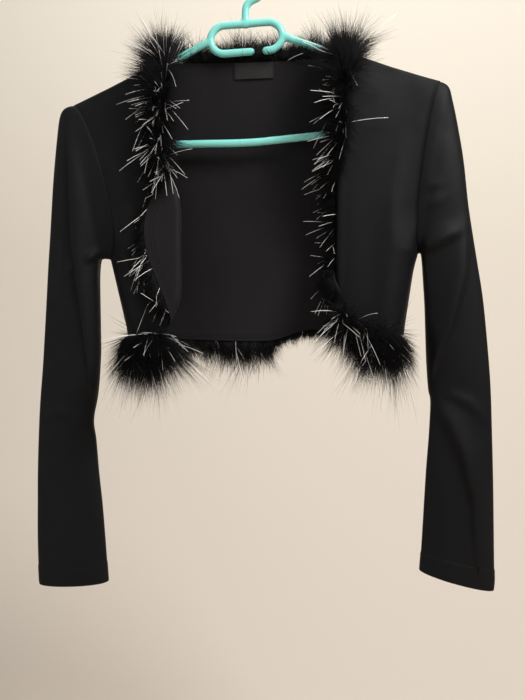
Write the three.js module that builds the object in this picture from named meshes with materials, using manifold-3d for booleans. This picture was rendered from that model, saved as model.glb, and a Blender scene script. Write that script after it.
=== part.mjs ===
// A cropped bolero in smooth black knit, open at the front and edged all round with fluffy trim, on a hanger.
// Millimetres. X runs to the viewer's right, Y away from the viewer, Z up; the origin is under the hook's top.
// Names say the wearer's side: the right front and right sleeve hang on the viewer's left.

import * as THREE from 'three';
import { mergeVertices } from 'three/addons/utils/BufferGeometryUtils.js';
import Module from 'manifold-3d';

const wasm = await Module();
wasm.setup();

// Driving sizes
const CLOTH = 1.6; // thickness of the knit
const SEAM = 0.45; // half the gap between the middles of two seamed edges
const ARMHOLE_GAP = 1.0; // between the middle of a panel's armhole edge and the sleeve's
const REST = 0.3; // gap between touching pieces
const TUBE = 4; // radius of the hanger's tube
const TILT = THREE.MathUtils.degToRad(1.8); // how far the hanger leans, seen from the front
const HOOK = { radius: 23, stemFoot: -60.7, lift: 4 };
const HANGER = { half: 208, bend: 23.4, bar: -191.5, sag: 4.4, arm: 40, armZ: -81, fall: 0.445, ease: 0.000125 };
const LOOP = { half: 40, top: -65, bottom: -96, gapFrom: 5, gapTo: 21 };
const SEAT = TUBE + REST + CLOTH / 2; // middle of the cloth above the middle of the arm
const NECK = { right: -85.4, left: 105.5 }; // along the hanger, where the shoulder seams meet the neck
const TIP = { right: -201, left: 208 }; // along the hanger, where they meet the sleeves
const TIP_LIFT = { right: 1, left: 2.5 };
const FRONT = { depth: 17, reach: 75, side: -1 };
const BACK = { depth: 14, reach: 70, side: 1 };
const SIDE_ROUND = 28; // width over which a panel turns into its side seam
const ROLL = 5; // radius at which the free edges roll over
const STRIP = { radius: 2.2, inset: 4, stand: 0.6, sides: 5, step: 10 };
const LOCK = { root: 1.6, clear: 0.4, sides: 3, stand: 5, shortest: 0.72, stunted: 0.55, tries: 12 };
const MIDDLE = 20; // X of the garment's middle
const UNDERARM = { drop: 1.6, out: 0.6 }; // how far panels draw back below the armhole, in armhole gaps

// Colours
const BLACK = { color: 0x0b0b0e, roughness: 0.62, metalness: 0 };
const FUR = { color: 0x08080a, roughness: 0.95, metalness: 0 };
const LABEL_CLOTH = { color: 0x141316, roughness: 0.8, metalness: 0 };
const TURQUOISE = { color: 0x5fd8c4, roughness: 0.28, metalness: 0 };

// Sleeve sections from armhole to cuff: outer and inner point, depth to front and back, bow towards the body
const SLEEVE_RIGHT = [
  { ox: -197, oz: -149, ix: -152, iz: -322.5, front: 14, back: 13.5, bow: 19 },
  { ox: -206.5, oz: -152.5, ix: -159, iz: -321.5, front: 15, back: 13.5, bow: 14 },
  { ox: -211.5, oz: -163, ix: -164.5, iz: -323.5, front: 15, back: 13, bow: 9 },
  { ox: -214.5, oz: -190, ix: -165.8, iz: -331, front: 15.5, back: 13, bow: 5 },
  { ox: -218, oz: -232, ix: -165.9, iz: -345, front: 15, back: 13, bow: 2 },
  { ox: -221, oz: -285, ix: -165.2, iz: -367, front: 14, back: 12, bow: 0 },
  { ox: -224, oz: -331, ix: -164.6, iz: -395, front: 13, back: 11, bow: 0 },
  { ox: -227, oz: -385, ix: -164.3, iz: -430, front: 12, back: 11, bow: 0 },
  { ox: -230.3, oz: -441, ix: -167.2, iz: -472, front: 12, back: 10, bow: 0 },
  { ox: -233.4, oz: -480, ix: -172.4, iz: -503, front: 11, back: 10, bow: 0 },
  { ox: -235.2, oz: -515, ix: -169.6, iz: -526, front: 11, back: 10, bow: 0 },
  { ox: -236.5, oz: -559, ix: -166.3, iz: -563, front: 11, back: 10, bow: 0 },
  { ox: -236.8, oz: -598, ix: -162.4, iz: -597, front: 10, back: 9, bow: 0 },
  { ox: -236.8, oz: -637, ix: -159.4, iz: -632, front: 10, back: 9, bow: -1 },
  { ox: -235.5, oz: -680, ix: -156, iz: -675, front: 10, back: 9, bow: -2 },
  { ox: -234.5, oz: -689, ix: -155.3, iz: -684, front: 10, back: 9, bow: -3 },
];
const SLEEVE_LEFT = [
  { ox: 212, oz: -137.5, ix: 188.7, iz: -320, front: 14, back: 13.5, bow: 9 },
  { ox: 220.5, oz: -143.5, ix: 190.8, iz: -320.3, front: 15, back: 13.5, bow: 7 },
  { ox: 224.5, oz: -158, ix: 192.6, iz: -323, front: 15, back: 13, bow: 5 },
  { ox: 230, oz: -186, ix: 193.4, iz: -333, front: 15.5, back: 13, bow: 3 },
  { ox: 236, oz: -224, ix: 194.2, iz: -350, front: 15, back: 13, bow: 1 },
  { ox: 241, oz: -272, ix: 195.6, iz: -374, front: 14, back: 12, bow: 0 },
  { ox: 249, oz: -325, ix: 196.6, iz: -405, front: 13, back: 11, bow: 0 },
  { ox: 256, oz: -371, ix: 197.6, iz: -437, front: 12, back: 11, bow: 0 },
  { ox: 261.5, oz: -430, ix: 199.6, iz: -466, front: 12, back: 10, bow: 0 },
  { ox: 264, oz: -468, ix: 201.9, iz: -480, front: 11, back: 10, bow: 0 },
  { ox: 265.3, oz: -513, ix: 200.4, iz: -514, front: 11, back: 10, bow: 0 },
  { ox: 266.4, oz: -559, ix: 197.4, iz: -553, front: 11, back: 10, bow: 0 },
  { ox: 267, oz: -604, ix: 195, iz: -592, front: 10, back: 9, bow: 0 },
  { ox: 267.5, oz: -650, ix: 192.5, iz: -634, front: 10, back: 9, bow: -1 },
  { ox: 268, oz: -668, ix: 191, iz: -652, front: 10, back: 9, bow: -2 },
  { ox: 267, oz: -679, ix: 190.5, iz: -660, front: 10, back: 9, bow: -3 },
];
const SLEEVE_GRID = { rows: 22, around: 22, squareness: 0.78 };

// Folds that stand off a sleeve: height, width on the outer and on the inner side, and the line they follow
const FOLDS_RIGHT = [
  {
    height: 4, outer: 5, inner: 16,
    line: [[-198, -173], [-193, -240], [-190, -310], [-180, -392], [-168, -498]],
  },
  { height: 3.5, outer: 7, inner: 9, line: [[-192, -336], [-179, -327], [-166, -320], [-156, -323]] },
];
const FOLDS_LEFT = [
  { height: 4, outer: 9, inner: 14, line: [[238, -300], [235, -346], [221, -398], [204, -437], [198, -458]] },
  { height: 3, outer: 7, inner: 8, line: [[239, -299], [221, -306], [198, -317], [190, -322]] },
  { height: 4, outer: 14, inner: 6, line: [[201, -477], [220, -504], [234, -535], [246, -582], [249.6, -650]] },
];

// Side seams from hem to underarm, and the free edge or fold line of each front from hem to neck
const SIDE_RIGHT = [
  { x: -130, z: -409 },
  { x: -137, z: -380 },
  { x: -144, z: -351 },
  { x: -150.5, z: -324 },
];
const SIDE_LEFT = [
  { x: 172, z: -408 },
  { x: 177.5, z: -372 },
  { x: 182.5, z: -340 },
  { x: 187.2, z: -321.5 },
];
const EDGE_RIGHT = [
  { x: -85, z: -411, roll: 0 },
  { x: -79, z: -397, roll: 6 },
  { x: -72.5, z: -384, roll: 16 },
  { x: -67.5, z: -371, roll: 25 },
  { x: -65.8, z: -358, roll: 32 },
  { x: -65.5, z: -342, roll: 39 },
  { x: -66, z: -322, roll: 46 },
  { x: -66, z: -298, roll: 50 },
  { x: -66, z: -277, roll: 48 },
  { x: -68, z: -260, roll: 39 },
  { x: -73, z: -245, roll: 24 },
  { x: -79, z: -230, roll: 11 },
  { x: -84.5, z: -215, roll: 3 },
  { x: -87.5, z: -195, roll: 0 },
  { x: -86.4, z: -167, roll: 0 },
  { x: -82, z: -135, roll: 0 },
];
const EDGE_LEFT = [
  { x: 100, z: -385, roll: 0 },
  { x: 101.3, z: -372, roll: 1 },
  { x: 101.8, z: -356, roll: 7 },
  { x: 101.8, z: -338, roll: 14 },
  { x: 101.8, z: -310, roll: 18 },
  { x: 102.2, z: -270, roll: 18 },
  { x: 102.8, z: -240, roll: 14 },
  { x: 103.4, z: -222, roll: 7 },
  { x: 104, z: -205, roll: 1 },
  { x: 104.6, z: -188, roll: 0 },
  { x: 105.5, z: -158, roll: 0 },
  { x: 107, z: -127, roll: 0 },
];
const SHOULDER_SHARE = 0.3; // of the back's top edge, at each side
const HEM_SAG = { right: 2, left: 8, back: 6 };
const PANEL_GRID = { across: 9, rim: 2, turn: 6, flap: 3, shoulder: 7 };
const NECK_STOPS = [0, 0.01, 0.022, 0.04, 0.09, 0.2, 0.36]; // shares of the back neck, from ends to middle
const NECK_DIP = { deep: 5, within: 0.04 };
const ROW_DROPS = [
  0, 1.4, 3.4, 6.2, 14, 28, 46, 66, 86, 106, 124, 140, 156, 174, 194, 214, 232, 248, 264, 282,
];
const PANEL_TALL = 300; // along the free edge; the rows' drops are parts of it
const BACK_HEM_LIFT = { from: 20, to: 74, high: 12 }; // where the back hem curls up, seen along X
const LABEL = { left: -12.5, right: 31.4, top: -105, bottom: -122.5, thick: 0.7, across: 6, down: 4 };

// How each trim is combed: place along its strip, heading of its locks, their length and how far they stray
const COMB = {
  neck: [
    { at: 0, x: -0.2, y: 0.25, z: 0.9, long: 40, stray: 0.55 },
    { at: 0.5, x: 0.1, y: 0.2, z: 1, long: 38, stray: 0.5 },
    { at: 1, x: 0.3, y: 0.25, z: 0.9, long: 40, stray: 0.6 },
  ],
  frontRight: [
    { at: 0, x: -0.5, y: -0.2, z: -0.9, long: 42, stray: 0.5 },
    { at: 0.08, x: -0.75, y: -0.15, z: -0.6, long: 38, stray: 0.35 },
    { at: 0.6, x: -0.75, y: -0.12, z: -0.6, long: 38, stray: 0.35 },
    { at: 0.7, x: -0.75, y: -0.45, z: -0.45, long: 46, stray: 0.6 },
    { at: 0.86, x: -0.65, y: -0.5, z: -0.1, long: 50, stray: 0.75 },
    { at: 0.94, x: -0.45, y: -0.3, z: 0.6, long: 56, stray: 0.75 },
    { at: 1, x: -0.35, y: -0.1, z: 0.9, long: 56, stray: 0.65 },
  ],
  frontLeft: [
    { at: 0, x: -0.5, y: -0.3, z: -0.8, long: 44, stray: 0.6 },
    { at: 0.1, x: -0.8, y: -0.1, z: -0.55, long: 38, stray: 0.4 },
    { at: 0.55, x: -0.85, y: 0.1, z: -0.5, long: 38, stray: 0.35 },
    { at: 0.66, x: -0.7, y: -0.1, z: -0.5, long: 38, stray: 0.5 },
    { at: 0.74, x: 0.1, y: -0.6, z: -0.5, long: 44, stray: 0.8 },
    { at: 0.86, x: 0.6, y: -0.5, z: 0.1, long: 54, stray: 0.85 },
    { at: 0.94, x: 0.6, y: -0.3, z: 0.7, long: 62, stray: 0.8 },
    { at: 1, x: 0.35, y: 0, z: 0.95, long: 62, stray: 0.7 },
  ],
  hemRight: [
    { at: 0, x: -0.25, y: -0.3, z: -0.95, long: 60, stray: 0.6 },
    { at: 0.5, x: -0.05, y: -0.35, z: -0.9, long: 66, stray: 0.6 },
    { at: 1, x: 0.35, y: -0.3, z: -0.85, long: 62, stray: 0.65 },
  ],
  hemLeft: [
    { at: 0, x: 0.3, y: -0.25, z: -0.95, long: 70, stray: 0.55 },
    { at: 0.5, x: 0.25, y: -0.35, z: -0.9, long: 60, stray: 0.6 },
    { at: 1, x: 0.1, y: -0.4, z: -0.7, long: 48, stray: 0.75 },
  ],
  hemBack: [
    { at: 0, x: 0, y: 0.2, z: -1, long: 38, stray: 0.4 },
    { at: 0.2, x: 0.15, y: 0.15, z: -1, long: 46, stray: 0.4 },
    { at: 0.5, x: 0.2, y: 0.15, z: -1, long: 46, stray: 0.4 },
    { at: 0.55, x: 0.1, y: 0.3, z: -0.9, long: 16, stray: 0.45 },
    { at: 0.75, x: 0, y: 0.3, z: -0.9, long: 16, stray: 0.45 },
    { at: 0.82, x: 0, y: 0.2, z: -1, long: 30, stray: 0.4 },
    { at: 1, x: 0, y: 0.2, z: -1, long: 30, stray: 0.4 },
  ],
};
// Each trim: where its strip starts and ends along its edge, how far apart its locks start, and its scatter seed;
// crowded: how much closer together the locks stand towards the neck
const TRIM = {
  neck: { from: 0.33, to: 0.67, space: 6.5, seed: 1 },
  frontRight: { from: 0.13, to: 0.97, space: 5.6, seed: 2, crowded: 0.45 },
  frontLeft: { from: 0.08, to: 0.97, space: 5.6, seed: 3, crowded: 0.45 },
  hemRight: { from: 0.2, to: 0.92, space: 2.2, seed: 4 },
  hemLeft: { from: 0.16, to: 0.94, space: 2.6, seed: 5 },
  hemBack: { from: 0.06, to: 0.94, space: 8, seed: 6 },
};

const vec = (x, y, z) => new THREE.Vector3(x, y, z);
const mix = THREE.MathUtils.lerp;
const clamp = THREE.MathUtils.clamp;
const smooth = (from, to, at) => THREE.MathUtils.smoothstep(at, from, to);
const scatter = (seed) => {
  const wave = Math.sin(seed * 12.9898 + 4.1414) * 43758.5453;
  return wave - Math.floor(wave);
};

// Hanger frame to object frame: the hanger leans about the centre of its hook
function lean(x, z, y = 0) {
  const centre = HOOK.lift - HOOK.radius;
  const rise = z - centre;
  const across = x * Math.cos(TILT) - rise * Math.sin(TILT);
  return vec(across, y, x * Math.sin(TILT) + rise * Math.cos(TILT) + centre);
}

const armHeight = (x) => {
  const along = Math.max(Math.abs(x) - HANGER.arm, 0);
  return HANGER.armZ - HANGER.fall * along + HANGER.ease * along * along;
};

// Middle of the cloth where it passes over an arm
function shoulderPoint(x) {
  const side = x < 0 ? 'right' : 'left';
  const steep = Math.cos(Math.atan(HANGER.fall));
  const point = lean(x, armHeight(x) + SEAT / steep);
  point.z += TIP_LIFT[side] * Math.pow(Math.abs(x) / Math.abs(TIP[side]), 6);
  return point;
}

function shoulderHeight(x) {
  let along = x;
  for (let turn = 0; turn < 3; turn += 1) along += x - shoulderPoint(along).x;
  return shoulderPoint(along).z;
}

// Smooth curve through the rows of a table; at(0) is the first row, at(1) the last
function spline(table, columns) {
  const last = table.length - 1;
  return (share) => {
    const place = clamp(share, 0, 1) * last;
    const index = Math.min(Math.floor(place), last - 1);
    const part = place - index;
    const row = {};
    for (const column of columns) {
      const before = table[Math.max(index - 1, 0)][column];
      const from = table[index][column];
      const to = table[index + 1][column];
      const after = table[Math.min(index + 2, last)][column];
      const startSlope = (to - before) / 2;
      const endSlope = (after - from) / 2;
      const square = part * part;
      const cube = square * part;
      row[column] = (2 * cube - 3 * square + 1) * from + (cube - 2 * square + part) * startSlope
        + (3 * square - 2 * cube) * to + (cube - square) * endSlope;
    }
    return row;
  };
}

// The same curve measured by length, so that equal shares are equal lengths
function byLength(curve, steps = 120) {
  const shares = [0];
  const lengths = [0];
  let before = curve(0);
  for (let step = 1; step <= steps; step += 1) {
    const now = curve(step / steps);
    shares.push(step / steps);
    const apart = [now.x - before.x, now.z - before.z, (now.y ?? 0) - (before.y ?? 0)];
    lengths.push(lengths[step - 1] + Math.hypot(...apart));
    before = now;
  }
  const whole = lengths[steps];
  return (share) => {
    const wanted = clamp(share, 0, 1) * whole;
    let step = lengths.findIndex((length) => length >= wanted);
    if (step < 1) step = 1;
    const part = (wanted - lengths[step - 1]) / Math.max(lengths[step] - lengths[step - 1], 1e-9);
    return curve(mix(shares[step - 1], shares[step], part));
  };
}

function distanceToLine(line, x, z) {
  let best = { gap: Infinity, side: 1 };
  for (let i = 0; i < line.length - 1; i += 1) {
    const [ax, az] = line[i];
    const [bx, bz] = line[i + 1];
    const dx = bx - ax;
    const dz = bz - az;
    const part = clamp(((x - ax) * dx + (z - az) * dz) / (dx * dx + dz * dz), 0, 1);
    const gap = Math.hypot(x - ax - part * dx, z - az - part * dz);
    const side = Math.sign(dx * (z - az) - dz * (x - ax));
    const along = (i + part) / (line.length - 1);
    if (gap < best.gap) best = { gap, side, along };
  }
  return best;
}

function foldHeight(folds, x, z) {
  let height = 0;
  for (const fold of folds) {
    const { gap, side, along } = distanceToLine(fold.line, x, z);
    const wide = side < 0 ? fold.outer : fold.inner;
    const ends = Math.sin(Math.PI * clamp(mix(0.12, 0.88, along), 0, 1));
    height = Math.max(height, fold.height * ends * Math.exp(-((gap / wide) ** 2)));
  }
  return height;
}

// Sleeves: share runs from armhole to cuff; the angle is 0 at the outer side, a quarter turn at the front
function sleeveSurface(table, folds, hand) {
  const section = spline(table, ['ox', 'oz', 'ix', 'iz', 'front', 'back', 'bow']);
  return (share, angle) => {
    const row = section(share);
    const across = vec((row.ox - row.ix) / 2, 0, (row.oz - row.iz) / 2);
    const toBody = vec(-hand * across.z, 0, hand * across.x).normalize();
    const sine = Math.sin(angle);
    const round = Math.abs(sine) ** SLEEVE_GRID.squareness;
    const point = vec((row.ox + row.ix) / 2, 0, (row.oz + row.iz) / 2);
    point.addScaledVector(across, Math.cos(angle));
    point.addScaledVector(toBody, row.bow * Math.abs(sine));
    point.y = sine > 0 ? -row.front * round : row.back * round;
    const away = smooth(0.02, 0.16, share) * Math.min(1, Math.abs(sine) * 1.4);
    const fold = foldHeight(folds, point.x, point.z) * away;
    point.y += sine > 0 ? -fold : fold * 0.6;
    return point;
  };
}

const sleeveRight = sleeveSurface(SLEEVE_RIGHT, FOLDS_RIGHT, -1);
const sleeveLeft = sleeveSurface(SLEEVE_LEFT, FOLDS_LEFT, 1);

// Depth of a panel where it hangs free: over the arm first, then slowly away from it
function hangingDepth(panel, x, z) {
  const drop = Math.max(shoulderHeight(x) - z, 0);
  if (drop < SEAT) return Math.sqrt(SEAT * SEAT - (SEAT - drop) ** 2);
  return SEAT + panel.depth * (1 - Math.exp(-(drop - SEAT) / panel.reach));
}

// A panel's outer boundary: up the side seam, then up its half of the armhole
function outerBoundary(side, sleeve, panel, hand) {
  const seam = spline(side, ['x', 'z']);
  const whole = (share) => {
    if (share < 0.5) {
      const row = seam(share * 2);
      return vec(row.x, panel.side * SEAM, row.z);
    }
    const angle = Math.PI * (1 - (share - 0.5) * 2) * -panel.side;
    const point = sleeve(0, angle);
    point.x += Math.sign(MIDDLE - point.x) * ARMHOLE_GAP;
    const ends = 1 - Math.abs(Math.sin(angle));
    const low = Math.cos(angle) < 0 ? ends : 0;
    point.y = panel.side * Math.max(Math.abs(point.y), SEAM);
    point.z -= UNDERARM.drop * ARMHOLE_GAP * low;
    point.x -= hand * UNDERARM.out * ARMHOLE_GAP * low;
    return point;
  };
  return byLength(whole);
}

// Four-sided patch in X and Z between its hem, its top and its two sides
function patch(outer, inner, hem, top) {
  return (s, t) => {
    const x = (1 - s) * outer(t).x + s * inner(t).x + (1 - t) * hem(s).x + t * top(s).x
      - (1 - s) * (1 - t) * hem(0).x - s * (1 - t) * hem(1).x - (1 - s) * t * top(0).x - s * t * top(1).x;
    const z = (1 - s) * outer(t).z + s * inner(t).z + (1 - t) * hem(s).z + t * top(s).z
      - (1 - s) * (1 - t) * hem(0).z - s * (1 - t) * hem(1).z - (1 - s) * t * top(0).z - s * t * top(1).z;
    return vec(x, 0, z);
  };
}

// How far a panel has come forward from its side seam or armhole, 0 to 1
function sideShare(gap, boundaryZ, underarm) {
  const part = clamp(gap / SIDE_ROUND, 0, 1);
  const seamed = Math.sqrt(1 - (1 - part) ** 2);
  const flowing = part * part * (3 - 2 * part);
  return mix(seamed, flowing, smooth(underarm, underarm + 50, boundaryZ));
}

// Depth of a panel's point: hanging free, less what its side seam or armhole holds back
function panelDepth(panel, point, border, share) {
  const held = Math.abs(border.y) - hangingDepth(panel, border.x, border.z);
  return Math.max(hangingDepth(panel, point.x, point.z) + held * (1 - share), SEAM);
}

// A front: the patch up to where its edge starts to roll, then the rolled stretch
function frontSurface({ sleeve, side, edge, hand, hem, neck, tip, way }) {
  const neckPoint = shoulderPoint(neck);
  const table = [...edge, { x: neckPoint.x, z: neckPoint.z, roll: 0 }];
  const edgeCurve = byLength(spline(table, ['x', 'z', 'roll']));
  const inward = Math.sign(edge[0].x - side[0].x);
  const turned = (t) => Math.max(edgeCurve(t).roll, 0);
  const inner = (t) => {
    const row = edgeCurve(t);
    const angle = Math.min(turned(t) / ROLL, Math.PI / 2);
    return { x: row.x - inward * (ROLL * Math.sin(angle) + STRIP.inset), z: row.z };
  };
  const outer = outerBoundary(side, sleeve, FRONT, hand);
  const start = inner(0);
  const hemCurve = (s) => ({
    x: mix(side[0].x, start.x, s),
    z: mix(side[0].z, start.z, s) - hem * Math.sin(Math.PI * s),
  });
  const topEnd = neck - inward * STRIP.inset;
  const topCurve = (s) => {
    const point = shoulderPoint(mix(tip, topEnd, s));
    const join = outer(1);
    point.x += (join.x - shoulderPoint(tip).x) * (1 - s) ** 4;
    point.z += (join.z - shoulderPoint(tip).z) * (1 - s) ** 4;
    return point;
  };
  const flat = patch(outer, inner, hemCurve, topCurve);
  const depthAt = (s, t) => {
    const point = flat(s, t);
    const border = outer(t);
    const gap = Math.hypot(point.x - border.x, point.z - border.z);
    const share = sideShare(gap, border.z, side[side.length - 1].z);
    point.y = -panelDepth(FRONT, point, border, share);
    return point;
  };
  const length = (t) => STRIP.inset + turned(t);
  // reach counts from the start of the rolled stretch, in millimetres of cloth
  const rolled = (t, reach) => {
    const from = depthAt(1, t);
    const drop = shoulderHeight(from.x) - from.z;
    const flatPart = Math.min(reach, STRIP.inset);
    const round = Math.max(reach - STRIP.inset, 0);
    const angle = Math.min(round / ROLL, Math.PI);
    const back = Math.max(round - Math.PI * ROLL, 0);
    from.x += inward * (flatPart + ROLL * Math.sin(angle) - back);
    from.y += way * ROLL * (1 - Math.cos(angle));
    from.z = mix(shoulderHeight(from.x) - drop, from.z, smooth(0, 40, drop));
    return from;
  };
  return { flat: depthAt, rolled, length, inward, way };
}

const frontRight = frontSurface({
  sleeve: sleeveRight, side: SIDE_RIGHT, edge: EDGE_RIGHT, hand: -1,
  hem: HEM_SAG.right, neck: NECK.right, tip: TIP.right, way: -1,
});
const frontLeft = frontSurface({
  sleeve: sleeveLeft, side: SIDE_LEFT, edge: EDGE_LEFT, hand: 1,
  hem: HEM_SAG.left, neck: NECK.left, tip: TIP.left, way: 1,
});

// The back: one patch from side seam to side seam, its top made of both shoulders and the neck between
function backSurface() {
  const right = outerBoundary(SIDE_RIGHT, sleeveRight, BACK, -1);
  const left = outerBoundary(SIDE_LEFT, sleeveLeft, BACK, 1);
  const shoulders = { right: SHOULDER_SHARE, left: 1 - SHOULDER_SHARE };
  const neckRight = shoulderPoint(NECK.right);
  const neckLeft = shoulderPoint(NECK.left);
  const top = (s) => {
    if (s <= shoulders.right) {
      const share = s / shoulders.right;
      const point = shoulderPoint(mix(TIP.right, NECK.right, share));
      point.x += (right(1).x - shoulderPoint(TIP.right).x) * (1 - share) ** 4;
      point.z += (right(1).z - shoulderPoint(TIP.right).z) * (1 - share) ** 4;
      return point;
    }
    if (s >= shoulders.left) {
      const share = (1 - s) / (1 - shoulders.left);
      const point = shoulderPoint(mix(TIP.left, NECK.left, share));
      point.x += (left(1).x - shoulderPoint(TIP.left).x) * (1 - share) ** 4;
      point.z += (left(1).z - shoulderPoint(TIP.left).z) * (1 - share) ** 4;
      return point;
    }
    const share = (s - shoulders.right) / (shoulders.left - shoulders.right);
    const dip = NECK_DIP.deep * Math.min(1, share / NECK_DIP.within, (1 - share) / NECK_DIP.within);
    return vec(mix(neckRight.x, neckLeft.x, share), 0, mix(neckRight.z, neckLeft.z, share) - dip);
  };
  const hem = (s) => {
    const x = mix(SIDE_RIGHT[0].x, SIDE_LEFT[0].x, s);
    const ends = 1 - smooth(SIDE_LEFT[0].x - 50, SIDE_LEFT[0].x, x);
    const curl = smooth(BACK_HEM_LIFT.from, BACK_HEM_LIFT.to, x) * ends;
    const z = mix(SIDE_RIGHT[0].z, SIDE_LEFT[0].z, s) - HEM_SAG.back * Math.sin(Math.PI * s);
    return { x, z: z + BACK_HEM_LIFT.high * curl };
  };
  const flat = patch(right, left, hem, top);
  return (s, t) => {
    const point = flat(s, t);
    const near = s < 0.5 ? right(t) : left(t);
    const table = s < 0.5 ? SIDE_RIGHT : SIDE_LEFT;
    const gap = Math.hypot(point.x - near.x, point.z - near.z);
    const share = sideShare(gap, near.z, table[table.length - 1].z);
    point.y = panelDepth(BACK, point, near, share);
    return point;
  };
}

const back = backSurface();

// Builds a wall of even thickness on a grid of middle points; outside faces the way of the grid's normals
function wall(grid, thick, ring = false) {
  const rows = grid.length;
  const columns = grid[0].length;
  const wrap = (k) => ring ? (k + columns) % columns : clamp(k, 0, columns - 1);
  const normals = grid.map((row, j) => row.map((point, k) => {
    const along = grid[Math.min(j + 1, rows - 1)][k].clone().sub(grid[Math.max(j - 1, 0)][k]);
    const across = row[wrap(k + 1)].clone().sub(row[wrap(k - 1)]);
    return across.cross(along).normalize();
  }));
  const positions = [];
  for (const side of [0.5, -0.5]) {
    grid.forEach((row, j) => row.forEach((point, k) => {
      positions.push(...point.clone().addScaledVector(normals[j][k], side * thick).toArray());
    }));
  }
  const layer = rows * columns;
  const at = (j, k, side) => side * layer + j * columns + wrap(k);
  const faces = [];
  const quad = (a, b, c, d) => faces.push(a, b, c, a, c, d);
  const spans = ring ? columns : columns - 1;
  for (let j = 0; j < rows - 1; j += 1) {
    for (let k = 0; k < spans; k += 1) {
      quad(at(j, k, 0), at(j, k + 1, 0), at(j + 1, k + 1, 0), at(j + 1, k, 0));
      quad(at(j, k, 1), at(j + 1, k, 1), at(j + 1, k + 1, 1), at(j, k + 1, 1));
    }
  }
  for (let k = 0; k < spans; k += 1) {
    quad(at(0, k, 1), at(0, k + 1, 1), at(0, k + 1, 0), at(0, k, 0));
    quad(at(rows - 1, k, 0), at(rows - 1, k + 1, 0), at(rows - 1, k + 1, 1), at(rows - 1, k, 1));
  }
  if (!ring) {
    for (let j = 0; j < rows - 1; j += 1) {
      quad(at(j, 0, 0), at(j + 1, 0, 0), at(j + 1, 0, 1), at(j, 0, 1));
      quad(at(j, columns - 1, 1), at(j + 1, columns - 1, 1), at(j + 1, columns - 1, 0), at(j, columns - 1, 0));
    }
  }
  const geometry = new THREE.BufferGeometry();
  geometry.setAttribute('position', new THREE.Float32BufferAttribute(positions, 3));
  geometry.setIndex(faces);
  return geometry;
}

// A closed geometry as a solid, turned outside out where its faces point in
function solid(geometry) {
  const bare = geometry.clone();
  bare.deleteAttribute('normal');
  bare.deleteAttribute('uv');
  const merged = mergeVertices(bare, 1e-4);
  const triVerts = Uint32Array.from(merged.index.array);
  const vertProperties = Float32Array.from(merged.attributes.position.array);
  const mesh = new wasm.Mesh({ numProp: 3, vertProperties, triVerts });
  const made = new wasm.Manifold(mesh);
  if (made.volume() >= 0) return made;
  for (let i = 0; i < triVerts.length; i += 3) {
    [triVerts[i], triVerts[i + 1]] = [triVerts[i + 1], triVerts[i]];
  }
  return new wasm.Manifold(new wasm.Mesh({ ...mesh, triVerts }));
}

function geometryOf(made) {
  const { vertProperties, triVerts } = made.getMesh();
  const geometry = new THREE.BufferGeometry();
  geometry.setAttribute('position', new THREE.BufferAttribute(Float32Array.from(vertProperties), 3));
  geometry.setIndex(new THREE.BufferAttribute(Uint32Array.from(triVerts), 1));
  return geometry;
}

// A round bar along points
function bar(points, radius, sides, steps, closed = false) {
  const shape = new THREE.Shape();
  for (let k = 0; k <= sides; k += 1) {
    const angle = (k / sides) * 2 * Math.PI;
    const x = radius * Math.cos(angle);
    const y = radius * Math.sin(angle);
    if (k === 0) shape.moveTo(x, y);
    else if (k < sides) shape.lineTo(x, y);
    else shape.closePath();
  }
  const extrudePath = new THREE.CatmullRomCurve3(points, closed, 'centripetal');
  return new THREE.ExtrudeGeometry(shape, { steps, bevelEnabled: false, extrudePath });
}

const arc = (cx, cz, radius, from, to, steps) => Array.from({ length: steps + 1 }, (_, k) => {
  const angle = THREE.MathUtils.degToRad(mix(from, to, k / steps));
  return [cx + radius * Math.cos(angle), cz + radius * Math.sin(angle)];
});

function hangerHook() {
  const centre = HOOK.lift - HOOK.radius;
  const foot = centre - HOOK.radius;
  const stem = [[0, HOOK.stemFoot], [0, HOOK.stemFoot + 8], [1.5, foot - 3], [8, foot + 2.5]];
  const crook = arc(0, centre, HOOK.radius, -55, 205, 14);
  return bar([...stem, ...crook].map(([x, z]) => lean(x, z)), TUBE, 8, 34);
}

function hangerFrame() {
  const endX = HANGER.half - HANGER.bend;
  const endZ = HANGER.bar + HANGER.bend;
  const armStops = [LOOP.half, 55, 80, 110, 140, 165, 185];
  const armSide = armStops.map((x) => [x, armHeight(x)]);
  const bend = arc(endX, endZ, HANGER.bend, 58, -90, 9);
  const barHalf = [[120, HANGER.bar], [60, HANGER.bar - HANGER.sag / 2]];
  const half = [...armSide, ...bend, ...barHalf];
  const other = half.map(([x, z]) => [-x, z]).reverse();
  const outline = [...half, [0, HANGER.bar - HANGER.sag], ...other].map(([x, z]) => lean(x, z));
  const middle = (LOOP.top + LOOP.bottom) / 2;
  const radius = (LOOP.top - LOOP.bottom) / 2;
  const straight = LOOP.half - radius;
  const loop = [
    [LOOP.gapFrom, LOOP.bottom], [-straight / 2, LOOP.bottom],
    ...arc(-straight, middle, radius, 270, 90, 8),
    [0, LOOP.top],
    ...arc(straight, middle, radius, 90, -90, 8),
    [LOOP.gapTo, LOOP.bottom],
  ].map(([x, z]) => lean(x, z));
  let made = solid(bar(outline, TUBE, 8, 66)).add(solid(bar(loop, TUBE, 8, 30)));
  for (const end of [loop[0], loop[loop.length - 1]]) {
    const ball = new THREE.SphereGeometry(TUBE, 8, 5);
    ball.translate(end.x, end.y, end.z);
    made = made.add(solid(ball));
  }
  return geometryOf(made);
}

function sleeveWall(surface) {
  const grid = [];
  for (let j = 0; j <= SLEEVE_GRID.rows; j += 1) {
    const ring = [];
    for (let k = 0; k < SLEEVE_GRID.around; k += 1) {
      ring.push(surface(j / SLEEVE_GRID.rows, (k / SLEEVE_GRID.around) * 2 * Math.PI));
    }
    grid.push(ring);
  }
  return wall(grid, CLOTH, true);
}

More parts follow.
